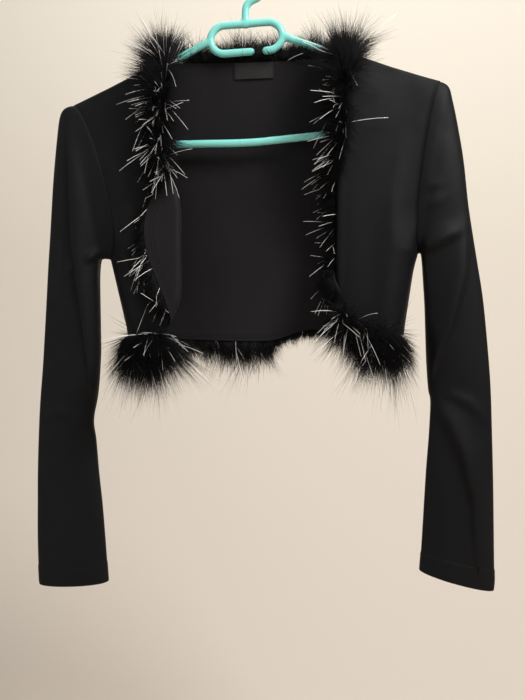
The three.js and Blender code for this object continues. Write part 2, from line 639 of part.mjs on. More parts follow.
const rowShares = ROW_DROPS.map((drop) => 1 - drop / PANEL_TALL).concat(0).reverse();

// Stops along a rolled edge, closer together where it turns
function rollStops(length) {
  const turning = Math.min(length - STRIP.inset, Math.PI * ROLL);
  const laid = length - STRIP.inset - turning;
  const spans = [[STRIP.inset, PANEL_GRID.rim], [turning, PANEL_GRID.turn], [laid, PANEL_GRID.flap]]
    .flatMap(([span, parts]) => Array(parts).fill(Math.max(span / parts, 0.35)));
  const whole = spans.reduce((sum, span) => sum + span, 0);
  let reach = 0;
  return [0, ...spans.map((span) => {
    reach += (span * length) / whole;
    return reach;
  })];
}

function frontWall(front) {
  const grid = rowShares.map((t) => {
    const row = [];
    for (let k = 0; k < PANEL_GRID.across; k += 1) row.push(front.flat((k / PANEL_GRID.across) ** 1.2, t));
    for (const reach of rollStops(front.length(t))) row.push(front.rolled(t, reach));
    return row;
  });
  return wall(grid, CLOTH);
}

const backShares = [
  ...Array.from({ length: PANEL_GRID.shoulder }, (_, k) => SHOULDER_SHARE * (k / PANEL_GRID.shoulder) ** 1.3),
  ...[...NECK_STOPS, 0.5, ...NECK_STOPS.slice(1).reverse().map((stop) => 1 - stop)]
    .map((stop) => mix(SHOULDER_SHARE, 1 - SHOULDER_SHARE, stop)),
  ...Array.from({ length: PANEL_GRID.shoulder + 1 }, (_, k) => k / PANEL_GRID.shoulder)
    .map((part) => 1 - SHOULDER_SHARE * (1 - part) ** 1.3),
];

function backWall() {
  return wall(rowShares.map((t) => backShares.map((s) => back(s, t))), CLOTH);
}

// Finds where the back lies at a given X and Z
function backAt(x, z) {
  let s = 0.5;
  let t = 0.5;
  const step = 0.01;
  for (let turn = 0; turn < 12; turn += 1) {
    const here = back(s, t);
    const ds = back(s + step, t).sub(here).divideScalar(step);
    const dt = back(s, t + step).sub(here).divideScalar(step);
    const det = ds.x * dt.z - ds.z * dt.x;
    s = clamp(s + ((x - here.x) * dt.z - (z - here.z) * dt.x) / det, 0, 0.99);
    t = clamp(t + (ds.x * (z - here.z) - ds.z * (x - here.x)) / det, 0, 0.99);
  }
  return back(s, t);
}

function labelWall() {
  const inside = CLOTH / 2 + REST + LABEL.thick / 2;
  const grid = [];
  for (let j = 0; j <= LABEL.down; j += 1) {
    const row = [];
    for (let k = 0; k <= LABEL.across; k += 1) {
      const x = mix(LABEL.left, LABEL.right, k / LABEL.across);
      const point = backAt(x, mix(LABEL.bottom, LABEL.top, j / LABEL.down));
      point.y -= inside;
      row.push(point);
    }
    grid.push(row);
  }
  return wall(grid, LABEL.thick);
}

// A place that a trim's strip runs through, off the cloth on the side that faces out
function station(at, facing) {
  return at.clone().addScaledVector(facing.clone().normalize(), CLOTH / 2 + STRIP.stand + STRIP.radius);
}

function frontStation(front, t) {
  const reach = (share) => front.length(share) - STRIP.inset;
  const at = front.rolled(t, reach(t));
  const ahead = front.rolled(t, reach(t) + STRIP.inset / 2);
  const along = front.rolled(t + 0.01, reach(t + 0.01)).sub(at);
  const facing = ahead.clone().sub(at).cross(along).multiplyScalar(front.inward);
  return station(at, facing);
}

function frontStations(front, { from, to }) {
  const count = Math.round(((to - from) * PANEL_TALL) / STRIP.step);
  return Array.from({ length: count + 1 }, (_, k) => frontStation(front, mix(from, to, k / count)));
}

// Along a hem or the back neck: points of the panel a little inside its edge
function edgeStations(surface, edge, { from, to }, out, count) {
  const inside = Math.abs(edge - STRIP.inset / PANEL_TALL);
  return Array.from({ length: count + 1 }, (_, k) => {
    const s = mix(from, to, k / count);
    return station(surface(s, inside), out);
  });
}

function combAt(comb, at) {
  const next = clamp(comb.findIndex((row) => row.at >= at), 1, comb.length - 1);
  const before = comb[next - 1];
  const after = comb[next];
  const part = clamp((at - before.at) / (after.at - before.at), 0, 1);
  return Object.fromEntries(Object.keys(before).map((key) => [key, mix(before[key], after[key], part)]));
}

// One lock: a long thin pyramid from its root to its tip
function lockShape(from, tip, size) {
  const axis = tip.clone().sub(from).normalize();
  const helper = Math.abs(axis.z) < 0.9 ? vec(0, 0, 1) : vec(1, 0, 0);
  const u = helper.cross(axis).normalize();
  const v = axis.clone().cross(u);
  const positions = [];
  const faces = [];
  for (let k = 0; k < LOCK.sides; k += 1) {
    const angle = (k / LOCK.sides) * 2 * Math.PI;
    const corner = from.clone().addScaledVector(u, size * Math.cos(angle));
    corner.addScaledVector(v, size * Math.sin(angle));
    positions.push(...corner.toArray());
    faces.push(k, (k + 1) % LOCK.sides, LOCK.sides);
    if (k > 1) faces.push(0, k, k - 1);
  }
  positions.push(...tip.toArray());
  const geometry = new THREE.BufferGeometry();
  geometry.setAttribute('position', new THREE.Float32BufferAttribute(positions, 3));
  geometry.setIndex(faces);
  return solid(geometry);
}

const obstacles = [];

// A way that looks random, the same for the same seed
function anyWay(seed) {
  const turn = 2 * Math.PI * scatter(seed);
  const rise = 2 * scatter(seed + 0.7) - 1;
  const level = Math.sqrt(1 - rise * rise);
  return vec(level * Math.cos(turn), level * Math.sin(turn), rise);
}

// A trim: the strip, and combed locks along it, each tried until it clears every other piece
function trimSolid(places, comb, { space, seed, crowded = 0 }) {
  const curve = new THREE.CatmullRomCurve3(places, false, 'centripetal');
  const length = curve.getLength();
  let made = solid(bar(places, STRIP.radius, STRIP.sides, Math.max(Math.round(length / STRIP.step), 4)));
  const count = Math.round(length / space);
  const standing = [];
  for (let k = 0; k < count; k += 1) {
    const even = (k + 0.5) / count;
    const share = mix(even, Math.sin((even * Math.PI) / 2), crowded);
    const row = combAt(comb, share);
    const place = share * (places.length - 1);
    const index = Math.min(Math.floor(place), places.length - 2);
    const root = places[index].clone().lerp(places[index + 1], place - index);
    for (let go = 0; go < LOCK.tries; go += 1) {
      const mark = seed + k * 3.7 + go * 17.3;
      const heading = vec(row.x, row.y, row.z).normalize();
      heading.addScaledVector(anyWay(mark), row.stray).normalize();
      const size = mix(LOCK.shortest, 1, scatter(mark + 1.3)) * (go < LOCK.tries / 2 ? 1 : LOCK.stunted);
      const tip = root.clone().addScaledVector(heading, row.long * size);
      const near = root.clone().addScaledVector(heading, LOCK.stand);
      const past = tip.clone().addScaledVector(heading, LOCK.stand);
      const fat = lockShape(near, past, LOCK.root);
      const wide = lockShape(root, past, LOCK.root + LOCK.clear);
      const free = obstacles.every((item) => wide.intersect(item).isEmpty())
        && standing.every((item) => fat.intersect(item).isEmpty());
      if (free) {
        standing.push(fat);
        made = made.add(lockShape(root, tip, LOCK.root));
        break;
      }
    }
  }
  obstacles.push(made);
  return geometryOf(made);
}

const garment = new THREE.Group();

function add(name, geometry, look) {
  const mesh = new THREE.Mesh(geometry, new THREE.MeshStandardMaterial(look));
  mesh.name = name;
  garment.add(mesh);
}

function addPiece(name, geometry, look) {
  const made = solid(geometry);
  obstacles.push(made);
  add(name, geometryOf(made), look);
}

addPiece('hanger_hook', hangerHook(), TURQUOISE);
addPiece('hanger_frame', hangerFrame(), TURQUOISE);
addPiece('back', backWall(), BLACK);
addPiece('front_right', frontWall(frontRight), BLACK);
addPiece('front_left', frontWall(frontLeft), BLACK);
addPiece('sleeve_right', sleeveWall(sleeveRight), BLACK);
addPiece('sleeve_left', sleeveWall(sleeveLeft), BLACK);
addPiece('label', labelWall(), LABEL_CLOTH);

const forward = vec(0, -1, 0);
const rearward = vec(0, 1, 0);
const strips = [
  ['trim_neck', 'neck', edgeStations(back, 1, TRIM.neck, rearward, 9)],
  ['trim_front_right', 'frontRight', frontStations(frontRight, TRIM.frontRight)],
  ['trim_front_left', 'frontLeft', frontStations(frontLeft, TRIM.frontLeft)],
  ['trim_hem_right', 'hemRight', edgeStations(frontRight.flat, 0, TRIM.hemRight, forward, 5)],
  ['trim_hem_left', 'hemLeft', edgeStations(frontLeft.flat, 0, TRIM.hemLeft, forward, 7)],
  ['trim_hem_back', 'hemBack', edgeStations(back, 0, TRIM.hemBack, rearward, 18)],
];
for (const [name, kind, places] of strips) add(name, trimSolid(places, COMB[kind], TRIM[kind]), FUR);

export default garment;
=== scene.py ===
import math

import bpy
import numpy as np
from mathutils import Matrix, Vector
from mathutils.bvhtree import BVHTree


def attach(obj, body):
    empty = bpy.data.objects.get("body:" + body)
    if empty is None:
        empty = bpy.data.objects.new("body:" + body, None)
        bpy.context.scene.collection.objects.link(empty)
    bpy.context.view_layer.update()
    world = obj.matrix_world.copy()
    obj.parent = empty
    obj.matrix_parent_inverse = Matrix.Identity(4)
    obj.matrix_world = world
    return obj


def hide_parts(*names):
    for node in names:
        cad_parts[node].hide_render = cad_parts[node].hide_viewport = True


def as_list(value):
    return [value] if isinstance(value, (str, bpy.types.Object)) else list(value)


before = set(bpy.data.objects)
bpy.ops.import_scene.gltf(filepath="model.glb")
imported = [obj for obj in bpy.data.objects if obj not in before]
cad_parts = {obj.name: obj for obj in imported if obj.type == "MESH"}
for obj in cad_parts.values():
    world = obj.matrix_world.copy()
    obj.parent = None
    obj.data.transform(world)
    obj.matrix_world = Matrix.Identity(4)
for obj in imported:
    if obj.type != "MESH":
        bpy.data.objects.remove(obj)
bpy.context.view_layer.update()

MM = 0.001
CLOTH = 1.1  # thickness of the knit
SOLID_CLOTH = 1.6  # its thickness in the solids
SEAM = 0.62  # half the gap between the middles of two seamed edges
SEAM_WIDE = 1.6  # how far from a seam the cloth is pulled in
ARMHOLE_GAP = 0.35  # between a sleeve's top edge and the panels
UNDERARM_GAP = {"across": 0.6, "down": 1.6}  # added there under the arm, in armhole gaps
REST = 0.3  # between pieces that lie on each other
TUBE = 4.0  # radius of the hanger's bars
TILT = math.radians(1.8)  # of the hanger on its hook
HOOK = {"radius": 23.0, "stem_foot": -66.0, "lift": 4.0}
HANGER = {"half": 208.0, "bend": 23.4, "bar": -191.5, "sag": 4.4, "arm": 40.0, "arm_z": -81.0, "fall": 0.445,
          "ease": 0.000125, "fuller": 0.3, "voxel": 1.5}
LOOP = {"half": 40.0, "top": -65.0, "bottom": -96.0, "gap_from": 5.0, "gap_to": 21.0}
SEAT = TUBE + REST + SOLID_CLOTH / 2  # from the middle of a bar to the middle of the cloth on it
NECK = {"right": -85.4, "left": 105.5}  # along the hanger's arm, as the tips are
TIP = {"right": -201.0, "left": 208.0}
TIP_LIFT = {"right": 1.0, "left": 2.5}
# Panels: depth away from the hanger, drop over which it grows, side in Y, share of the top that has no folds
FRONT = {"depth": 17.0, "reach": 75.0, "side": -1, "plain_top": 0.06}
BACK = {"depth": 14.0, "reach": 70.0, "side": 1, "plain_top": 0.1}
SIDE_ROUND = 28.0  # how far in from its seam a side is rounded
SIDE_FADE = 50.0  # height above the underarm over which that round softens
FOLD_FADE = 20.0  # how far from a seam the folds reach their full height
ROLL = 5.0  # radius of a rolled edge
STRIP = {"radius": 2.2, "inset": 4.0, "stand": 0.6}
PANEL_TALL = 300.0
SHOULDER_SHARE = 0.3  # of the back's top edge, on each side of the neck
NECK_DIP = {"deep": 5.0, "within": 0.04}
HEM_SAG = {"right": 2.0, "left": 8.0, "back": 6.0}
BACK_HEM_LIFT = {"from": 20.0, "to": 74.0, "high": 12.0, "fade": 50.0}
LABEL = {"left": -12.5, "right": 31.4, "top": -105.0, "bottom": -122.5, "thick": 0.6}
SQUARENESS = 0.78  # of a sleeve's section: 1 is an ellipse, less is boxier

# Sleeve sections: outer x, outer z, inner x, inner z, depth to front, depth to back, bow towards the body
SLEEVE_RIGHT = [
    (-197, -149, -152, -322.5, 14, 13.5, 19),
    (-206.5, -152.5, -159, -321.5, 15, 13.5, 14),
    (-211.5, -163, -164.5, -323.5, 15, 13, 9),
    (-214.5, -190, -165.8, -331, 15.5, 13, 5),
    (-218, -232, -165.9, -345, 15, 13, 2),
    (-221, -285, -165.2, -367, 14, 12, 0),
    (-224, -331, -164.6, -395, 13, 11, 0),
    (-227, -385, -164.3, -430, 12, 11, 0),
    (-230.3, -441, -167.2, -472, 12, 10, 0),
    (-233.4, -480, -172.4, -503, 11, 10, 0),
    (-235.2, -515, -169.6, -526, 11, 10, 0),
    (-236.5, -559, -166.3, -563, 11, 10, 0),
    (-236.8, -598, -162.4, -597, 10, 9, 0),
    (-236.8, -637, -159.4, -632, 10, 9, -1),
    (-235.5, -680, -156, -675, 10, 9, -2),
    (-234.5, -689, -155.3, -684, 10, 9, -3),
]
SLEEVE_LEFT = [
    (212, -137.5, 188.7, -320, 14, 13.5, 9),
    (220.5, -143.5, 190.8, -320.3, 15, 13.5, 7),
    (224.5, -158, 192.6, -323, 15, 13, 5),
    (230, -186, 193.4, -333, 15.5, 13, 3),
    (236, -224, 194.2, -350, 15, 13, 1),
    (241, -272, 195.6, -374, 14, 12, 0),
    (249, -325, 196.6, -405, 13, 11, 0),
    (256, -371, 197.6, -437, 12, 11, 0),
    (261.5, -430, 199.6, -466, 12, 10, 0),
    (264, -468, 201.9, -480, 11, 10, 0),
    (265.3, -513, 200.4, -514, 11, 10, 0),
    (266.4, -559, 197.4, -553, 11, 10, 0),
    (267, -604, 195, -592, 10, 9, 0),
    (267.5, -650, 192.5, -634, 10, 9, -1),
    (268, -668, 191, -652, 10, 9, -2),
    (267, -679, 190.5, -660, 10, 9, -3),
]

# Folds: height, width on the outer side, width on the inner side, the line they follow as x and z
FOLDS_RIGHT = [
    (6.5, 2.2, 17, [(-198, -173), (-193, -240), (-190, -310), (-180, -392), (-168, -498)]),
    (5.5, 4, 8, [(-192, -336), (-179, -327), (-166, -320), (-156, -323)]),
    (2.4, 2, 6, [(-181, -334), (-177, -352), (-172, -369), (-167, -391)]),
    (2.0, 4, 9, [(-222, -500), (-205, -496), (-190, -500), (-176, -505)]),
    (1.6, 4, 8, [(-228, -560), (-212, -590), (-200, -640), (-194, -676)]),
    (1.6, 4, 7, [(-212, -180), (-208, -230), (-206, -290), (-208, -350)]),
]
FOLDS_LEFT = [
    (6.5, 15, 3.5, [(238, -300), (235, -346), (221, -398), (204, -437), (198, -458)]),
    (6.0, 12, 3, [(239, -299), (221, -306), (198, -317), (190, -322)]),
    (6.5, 3, 15, [(201, -477), (220, -504), (234, -535), (246, -582), (249.6, -650)]),
    (1.4, 3, 7, [(190, -256), (199, -252), (212, -250)]),
    (1.4, 3, 7, [(192, -274), (203, -270), (217, -266)]),
    (2.4, 3, 8, [(204, -478), (222, -474), (240, -482), (256, -498)]),
    (1.6, 5, 9, [(206, -540), (212, -580), (214, -620), (216, -660)]),
]
FOLDS_FRONT_RIGHT = [
    (2.6, 4, 9, [(-150, -296), (-140, -308), (-130, -326), (-126, -345)]),
    (1.8, 5, 10, [(-166, -200), (-152, -212), (-136, -216), (-118, -212)]),
]
FOLDS_FRONT_LEFT = [
    (1.6, 12, 20, [(164, -272), (161, -302), (158, -335), (157, -370), (157, -402)]),
    (0.9, 12, 16, [(120, -250), (119, -290), (117, -335), (115, -378)]),
]
FOLDS_BACK = [
    (1.4, 12, 16, [(-110, -150), (-96, -220), (-84, -300), (-78, -380)]),
    (1.2, 14, 14, [(34, -150), (40, -230), (44, -320), (42, -396)]),
    (1.4, 12, 16, [(140, -160), (132, -230), (126, -310), (122, -390)]),
    (1.0, 10, 12, [(-150, -280), (-120, -296), (-90, -300), (-60, -296)]),
    (1.0, 10, 12, [(184, -284), (160, -300), (134, -306), (108, -300)]),
]

SIDE_RIGHT = [(-130, -409), (-137, -380), (-144, -351), (-150.5, -324)]
SIDE_LEFT = [(172, -408), (177.5, -372), (182.5, -340), (187.2, -321.5)]
# Free edges from hem to neck: x, z and how much cloth rolls over
EDGE_RIGHT = [
    (-85, -411, 0), (-79, -397, 6), (-72.5, -384, 16), (-67.5, -371, 25), (-65.8, -358, 32),
    (-65.5, -342, 39), (-66, -322, 46), (-66, -298, 50), (-66, -277, 48), (-68, -260, 39), (-73, -245, 24),
    (-79, -230, 11), (-84.5, -215, 3), (-87.5, -195, 0), (-86.4, -167, 0), (-82, -135, 0),
]
EDGE_LEFT = [
    (100, -385, 0), (101.3, -372, 1), (101.8, -356, 7), (101.8, -338, 14), (101.8, -310, 18),
    (102.2, -270, 18), (102.8, -240, 14), (103.4, -222, 7), (104, -205, 1), (104.6, -188, 0),
    (105.5, -158, 0), (107, -127, 0),
]


def smooth(low, high, at):
    share = np.clip((at - low) / (high - low), 0, 1)
    return share * share * (3 - 2 * share)


def mix(a, b, share):
    return a + (b - a) * share


def unit(vectors):
    return vectors / np.linalg.norm(vectors, axis=-1, keepdims=True)


def along_line(points):
    """How far along a line each of its points lies."""
    return np.concatenate([[0], np.cumsum(np.linalg.norm(np.diff(points, axis=0), axis=1))])


def together(*values):
    """Numbers and arrays as arrays of one shape."""
    return np.broadcast_arrays(*[np.asarray(value, float) for value in values])


def spline(rows):
    """Smooth curve through a table's rows: 0 is the first row, 1 the last."""
    table = np.array(rows, float)
    last = len(table) - 1

    def at(share):
        place = np.clip(np.asarray(share, float), 0, 1) * last
        index = np.minimum(place.astype(int), last - 1)
        part = (place - index)[..., None]
        before, start = table[np.maximum(index - 1, 0)], table[index]
        end, after = table[index + 1], table[np.minimum(index + 2, last)]
        square, cube = part**2, part**3
        return ((2 * cube - 3 * square + 1) * start + (cube - 2 * square + part) * (end - before) / 2
                + (3 * square - 2 * cube) * end + (cube - square) * (after - start) / 2)

    return at


def by_length(curve, axes, steps=600):
    """The same curve measured by the length of the given columns."""
    shares = np.linspace(0, 1, steps + 1)
    lengths = along_line(curve(shares)[:, axes])
    return lambda share: curve(np.interp(np.clip(share, 0, 1) * lengths[-1], lengths, shares))


def lean(x, z):
    """From the hanger's own frame to the object's."""
    centre = HOOK["lift"] - HOOK["radius"]
    rise = z - centre
    return x * math.cos(TILT) - rise * math.sin(TILT), x * math.sin(TILT) + rise * math.cos(TILT) + centre


def arm_height(x):
    along = np.maximum(np.abs(x) - HANGER["arm"], 0)
    return HANGER["arm_z"] - HANGER["fall"] * along + HANGER["ease"] * along**2


def shoulder_point(x):
    """Middle of the cloth where it passes over an arm of the hanger."""
    x = np.asarray(x, float)
    steep = math.cos(math.atan(HANGER["fall"]))
    px, pz = lean(x, arm_height(x) + SEAT / steep)
    lift = np.where(x < 0, TIP_LIFT["right"], TIP_LIFT["left"])
    tip = np.where(x < 0, abs(TIP["right"]), TIP["left"])
    return px, pz + lift * (np.abs(x) / tip) ** 6


def shoulder_height(x):
    along = np.asarray(x, float)
    for _ in range(3):
        along = along + x - shoulder_point(along)[0]
    return shoulder_point(along)[1]


def fold_height(folds, x, z):
    total = np.zeros_like(x)
    for height, outer, inner, line in folds:
        best = np.full_like(x, 1e9)
        side = np.ones_like(x)
        along = np.zeros_like(x)
        for i, ((ax, az), (bx, bz)) in enumerate(zip(line, line[1:])):
            dx, dz = bx - ax, bz - az
            part = np.clip(((x - ax) * dx + (z - az) * dz) / (dx * dx + dz * dz), 0, 1)
            gap = np.hypot(x - ax - part * dx, z - az - part * dz)
            nearer = gap < best
            best = np.where(nearer, gap, best)
            side = np.where(nearer, np.sign(dx * (z - az) - dz * (x - ax)), side)
            along = np.where(nearer, (i + part) / (len(line) - 1), along)
        wide = np.where(side < 0, outer, inner)
        ends = np.sin(math.pi * mix(0.12, 0.88, along))
        total = np.maximum(total, height * ends * np.exp(-((best / wide) ** 2)))
    return total


def sleeve_surface(table, folds, hand):
    section = spline(table)

    def at(share, angle):
        share, angle = together(share, angle)
        ox, oz, ix, iz, front, back, bow = np.moveaxis(section(share), -1, 0)
        wx, wz = (ox - ix) / 2, (oz - iz) / 2
        size = np.hypot(wx, wz)
        sine = np.sin(angle)
        round_part = np.abs(sine) ** SQUARENESS
        x = (ox + ix) / 2 + wx * np.cos(angle) - hand * wz / size * bow * np.abs(sine)
        z = (oz + iz) / 2 + wz * np.cos(angle) + hand * wx / size * bow * np.abs(sine)
        y = np.where(sine > 0, -front * round_part, back * round_part)
        away = smooth(0.02, 0.16, share) * np.minimum(1, np.abs(sine) * 1.4)
        fold = fold_height(folds, x, z) * away
        y = y + np.where(sine > 0, -fold, 0.6 * fold)
        return np.stack([x, y, z], -1)

    return at


sleeve_right = sleeve_surface(SLEEVE_RIGHT, FOLDS_RIGHT, -1)
sleeve_left = sleeve_surface(SLEEVE_LEFT, FOLDS_LEFT, 1)


def hanging_depth(panel, x, z):
    drop = np.maximum(shoulder_height(x) - z, 0)
    over = np.sqrt(np.maximum(SEAT**2 - (SEAT - np.minimum(drop, SEAT)) ** 2, 0))
    below = SEAT + panel["depth"] * (1 - np.exp(-np.maximum(drop - SEAT, 0) / panel["reach"]))
    return np.where(drop < SEAT, over, below)


def outer_boundary(side, sleeve, panel, hand):
    """Up the side seam, then up the panel's half of the armhole."""
    seam = spline(side)
    centre = 20.0

    def whole(share):
        share = np.asarray(share, float)
        row = seam(np.minimum(share * 2, 1))
        lower = np.stack([row[..., 0], np.full_like(share, panel["side"] * SEAM), row[..., 1]], -1)
        angle = math.pi * (1 - np.clip((share - 0.5) * 2, 0, 1)) * -panel["side"]
        point = sleeve(np.zeros_like(share), angle)
        ends = 1 - np.abs(np.sin(angle))
        low = np.where(np.cos(angle) < 0, ends, 0)
        x = point[..., 0] + np.sign(centre - point[..., 0]) * ARMHOLE_GAP
        x = x - hand * UNDERARM_GAP["across"] * ARMHOLE_GAP * low
        y = panel["side"] * np.maximum(np.abs(point[..., 1]), SEAM)
        z = point[..., 2] - UNDERARM_GAP["down"] * ARMHOLE_GAP * low
        upper = np.stack([x, y, z], -1)
        return np.where((share < 0.5)[..., None], lower, upper)

    return by_length(whole, [0, 1, 2])


def patch(outer, inner, hem, top):
    """A surface between four border curves."""
    def at(s, t):
        s, t = together(s, t)
        zero, one = np.zeros_like(s), np.ones_like(s)
        o, i, h, u = outer(t), inner(t), hem(s), top(s)
        corners = [hem(zero), hem(one), top(zero), top(one)]
        a, b = s[..., None], t[..., None]
        return ((1 - a) * o + a * i + (1 - b) * h + b * u - (1 - a) * (1 - b) * corners[0]
                - a * (1 - b) * corners[1] - (1 - a) * b * corners[2] - a * b * corners[3])

    return at


def side_share(gap, boundary_z, underarm):
    part = np.clip(gap / SIDE_ROUND, 0, 1)
    seamed = np.sqrt(1 - (1 - part) ** 2)
    return mix(seamed, smooth(0, SIDE_ROUND, gap), smooth(underarm, underarm + SIDE_FADE, boundary_z))


def hung(panel, point, t, border, underarm, folds):
    """A panel's points with their depth: hung from the shoulder, rounded at the side and folded."""
    x, z = np.moveaxis(point, -1, 0)
    gap = np.hypot(x - border[..., 0], z - border[..., 2])
    share = side_share(gap, border[..., 2], underarm)
    held = np.abs(border[..., 1]) - hanging_depth(panel, border[..., 0], border[..., 2])
    depth = np.maximum(hanging_depth(panel, x, z) + held * (1 - share), SEAM)
    fold = fold_height(folds, x, z) * smooth(0, FOLD_FADE, gap) * smooth(0, panel["plain_top"], 1 - t)
    return np.stack([x, panel["side"] * (depth + fold), z], -1)


class Front:
    """A front: a patch up to where its edge starts to roll, then the rolled stretch."""

    def __init__(self, sleeve, side, edge, hand, hem, neck, tip, way, folds):
        self.way, self.folds, self.underarm = way, folds, side[-1][1]
        nx, nz = shoulder_point(neck)
        self.edge = by_length(spline(list(edge) + [(float(nx), float(nz), 0)]), [0, 1])
        self.inward = math.copysign(1, edge[0][0] - side[0][0])
        outer = outer_boundary(side, sleeve, FRONT, hand)
        self.outer = outer
        start = self.start(0.0)
        join = outer(1.0)
        tx, tz = shoulder_point(tip)

        def hem_curve(s):
            low = mix(side[0][1], start[1], s) - hem * np.sin(math.pi * s)
            return np.stack([mix(side[0][0], start[0], s), low], -1)

        def top_curve(s):
            x, z = shoulder_point(mix(tip, neck - self.inward * STRIP["inset"], s))
            return np.stack([x + (join[0] - tx) * (1 - s) ** 4, z + (join[2] - tz) * (1 - s) ** 4], -1)

        self.patch = patch(lambda t: outer(t)[..., [0, 2]], self.start, hem_curve, top_curve)

    def turned(self, t):
        return np.maximum(self.edge(t)[..., 2], 0)

    def start(self, t):
        row = self.edge(t)
        angle = np.minimum(self.turned(t) / ROLL, math.pi / 2)
        x = row[..., 0] - self.inward * (ROLL * np.sin(angle) + STRIP["inset"])
        return np.stack([x, row[..., 1]], -1)

    def flat(self, s, t):
        s, t = together(s, t)
        return hung(FRONT, self.patch(s, t), t, self.outer(t), self.underarm, self.folds)

    def length(self, t):
        return STRIP["inset"] + self.turned(t)

    def rolled(self, t, reach):
        t, reach = together(t, reach)
        point = self.flat(np.ones_like(t), t)
        x, y, z = np.moveaxis(point, -1, 0)
        drop = shoulder_height(x) - z
        flat_part = np.minimum(reach, STRIP["inset"])
        turn = np.maximum(reach - STRIP["inset"], 0)
        angle = np.minimum(turn / ROLL, math.pi)
        back = np.maximum(turn - math.pi * ROLL, 0)
        x = x + self.inward * (flat_part + ROLL * np.sin(angle) - back)
        y = y + self.way * ROLL * (1 - np.cos(angle))
        z = mix(shoulder_height(x) - drop, z, smooth(0, 40, drop))
        return np.stack([x, y, z], -1)


front_right = Front(sleeve_right, SIDE_RIGHT, EDGE_RIGHT, -1, HEM_SAG["right"], NECK["right"],
                    TIP["right"], -1, FOLDS_FRONT_RIGHT)
front_left = Front(sleeve_left, SIDE_LEFT, EDGE_LEFT, 1, HEM_SAG["left"], NECK["left"],
                   TIP["left"], 1, FOLDS_FRONT_LEFT)


def back_surface():
    right = outer_boundary(SIDE_RIGHT, sleeve_right, BACK, -1)
    left = outer_boundary(SIDE_LEFT, sleeve_left, BACK, 1)
    ends = {"right": right(1.0), "left": left(1.0)}
    tips = {hand: shoulder_point(TIP[hand]) for hand in TIP}
    necks = {hand: shoulder_point(NECK[hand]) for hand in NECK}

    def shoulder(hand, share):
        x, z = shoulder_point(mix(TIP[hand], NECK[hand], share))
        pull = (1 - share) ** 4
        return np.stack([x + (ends[hand][0] - tips[hand][0]) * pull,
                         z + (ends[hand][2] - tips[hand][1]) * pull], -1)

    def top(s):
        share = np.clip((s - SHOULDER_SHARE) / (1 - 2 * SHOULDER_SHARE), 0, 1)
        dip = NECK_DIP["deep"] * np.minimum(1, np.minimum(share, 1 - share) / NECK_DIP["within"])
        neck = np.stack([mix(necks["right"][0], necks["left"][0], share),
                         mix(necks["right"][1], necks["left"][1], share) - dip], -1)
        point = np.where((s < SHOULDER_SHARE)[..., None],
                         shoulder("right", np.clip(s / SHOULDER_SHARE, 0, 1)), neck)
        return np.where((s > 1 - SHOULDER_SHARE)[..., None],
                        shoulder("left", np.clip((1 - s) / SHOULDER_SHARE, 0, 1)), point)

    def hem(s):
        x = mix(SIDE_RIGHT[0][0], SIDE_LEFT[0][0], s)
        far = SIDE_LEFT[0][0]
        curl = smooth(BACK_HEM_LIFT["from"], BACK_HEM_LIFT["to"], x)
        curl = curl * (1 - smooth(far - BACK_HEM_LIFT["fade"], far, x))
        z = mix(SIDE_RIGHT[0][1], SIDE_LEFT[0][1], s) - HEM_SAG["back"] * np.sin(math.pi * s)
        return np.stack([x, z + BACK_HEM_LIFT["high"] * curl], -1)

    flat = patch(lambda t: right(t)[..., [0, 2]], lambda t: left(t)[..., [0, 2]], hem, top)

    def at(s, t):
        s, t = together(s, t)
        near = np.where((s < 0.5)[..., None], right(t), left(t))
        underarm = np.where(s < 0.5, SIDE_RIGHT[-1][1], SIDE_LEFT[-1][1])
        return hung(BACK, flat(s, t), t, near, underarm, FOLDS_BACK)

    return at


back = back_surface()


# Meshes

def grid_normals(grid, ring):
    along = np.gradient(grid, axis=0)
    if ring:
        across = np.roll(grid, -1, axis=1) - np.roll(grid, 1, axis=1)
    else:
        across = np.gradient(grid, axis=1)
    normal = np.cross(across, along)
    return normal / np.maximum(np.linalg.norm(normal, axis=-1, keepdims=True), 1e-9)


def put(name, data):
    """Puts a mesh, light or camera into the scene."""
    thing = bpy.data.objects.new(name, data)
    bpy.context.scene.collection.objects.link(thing)
    return thing


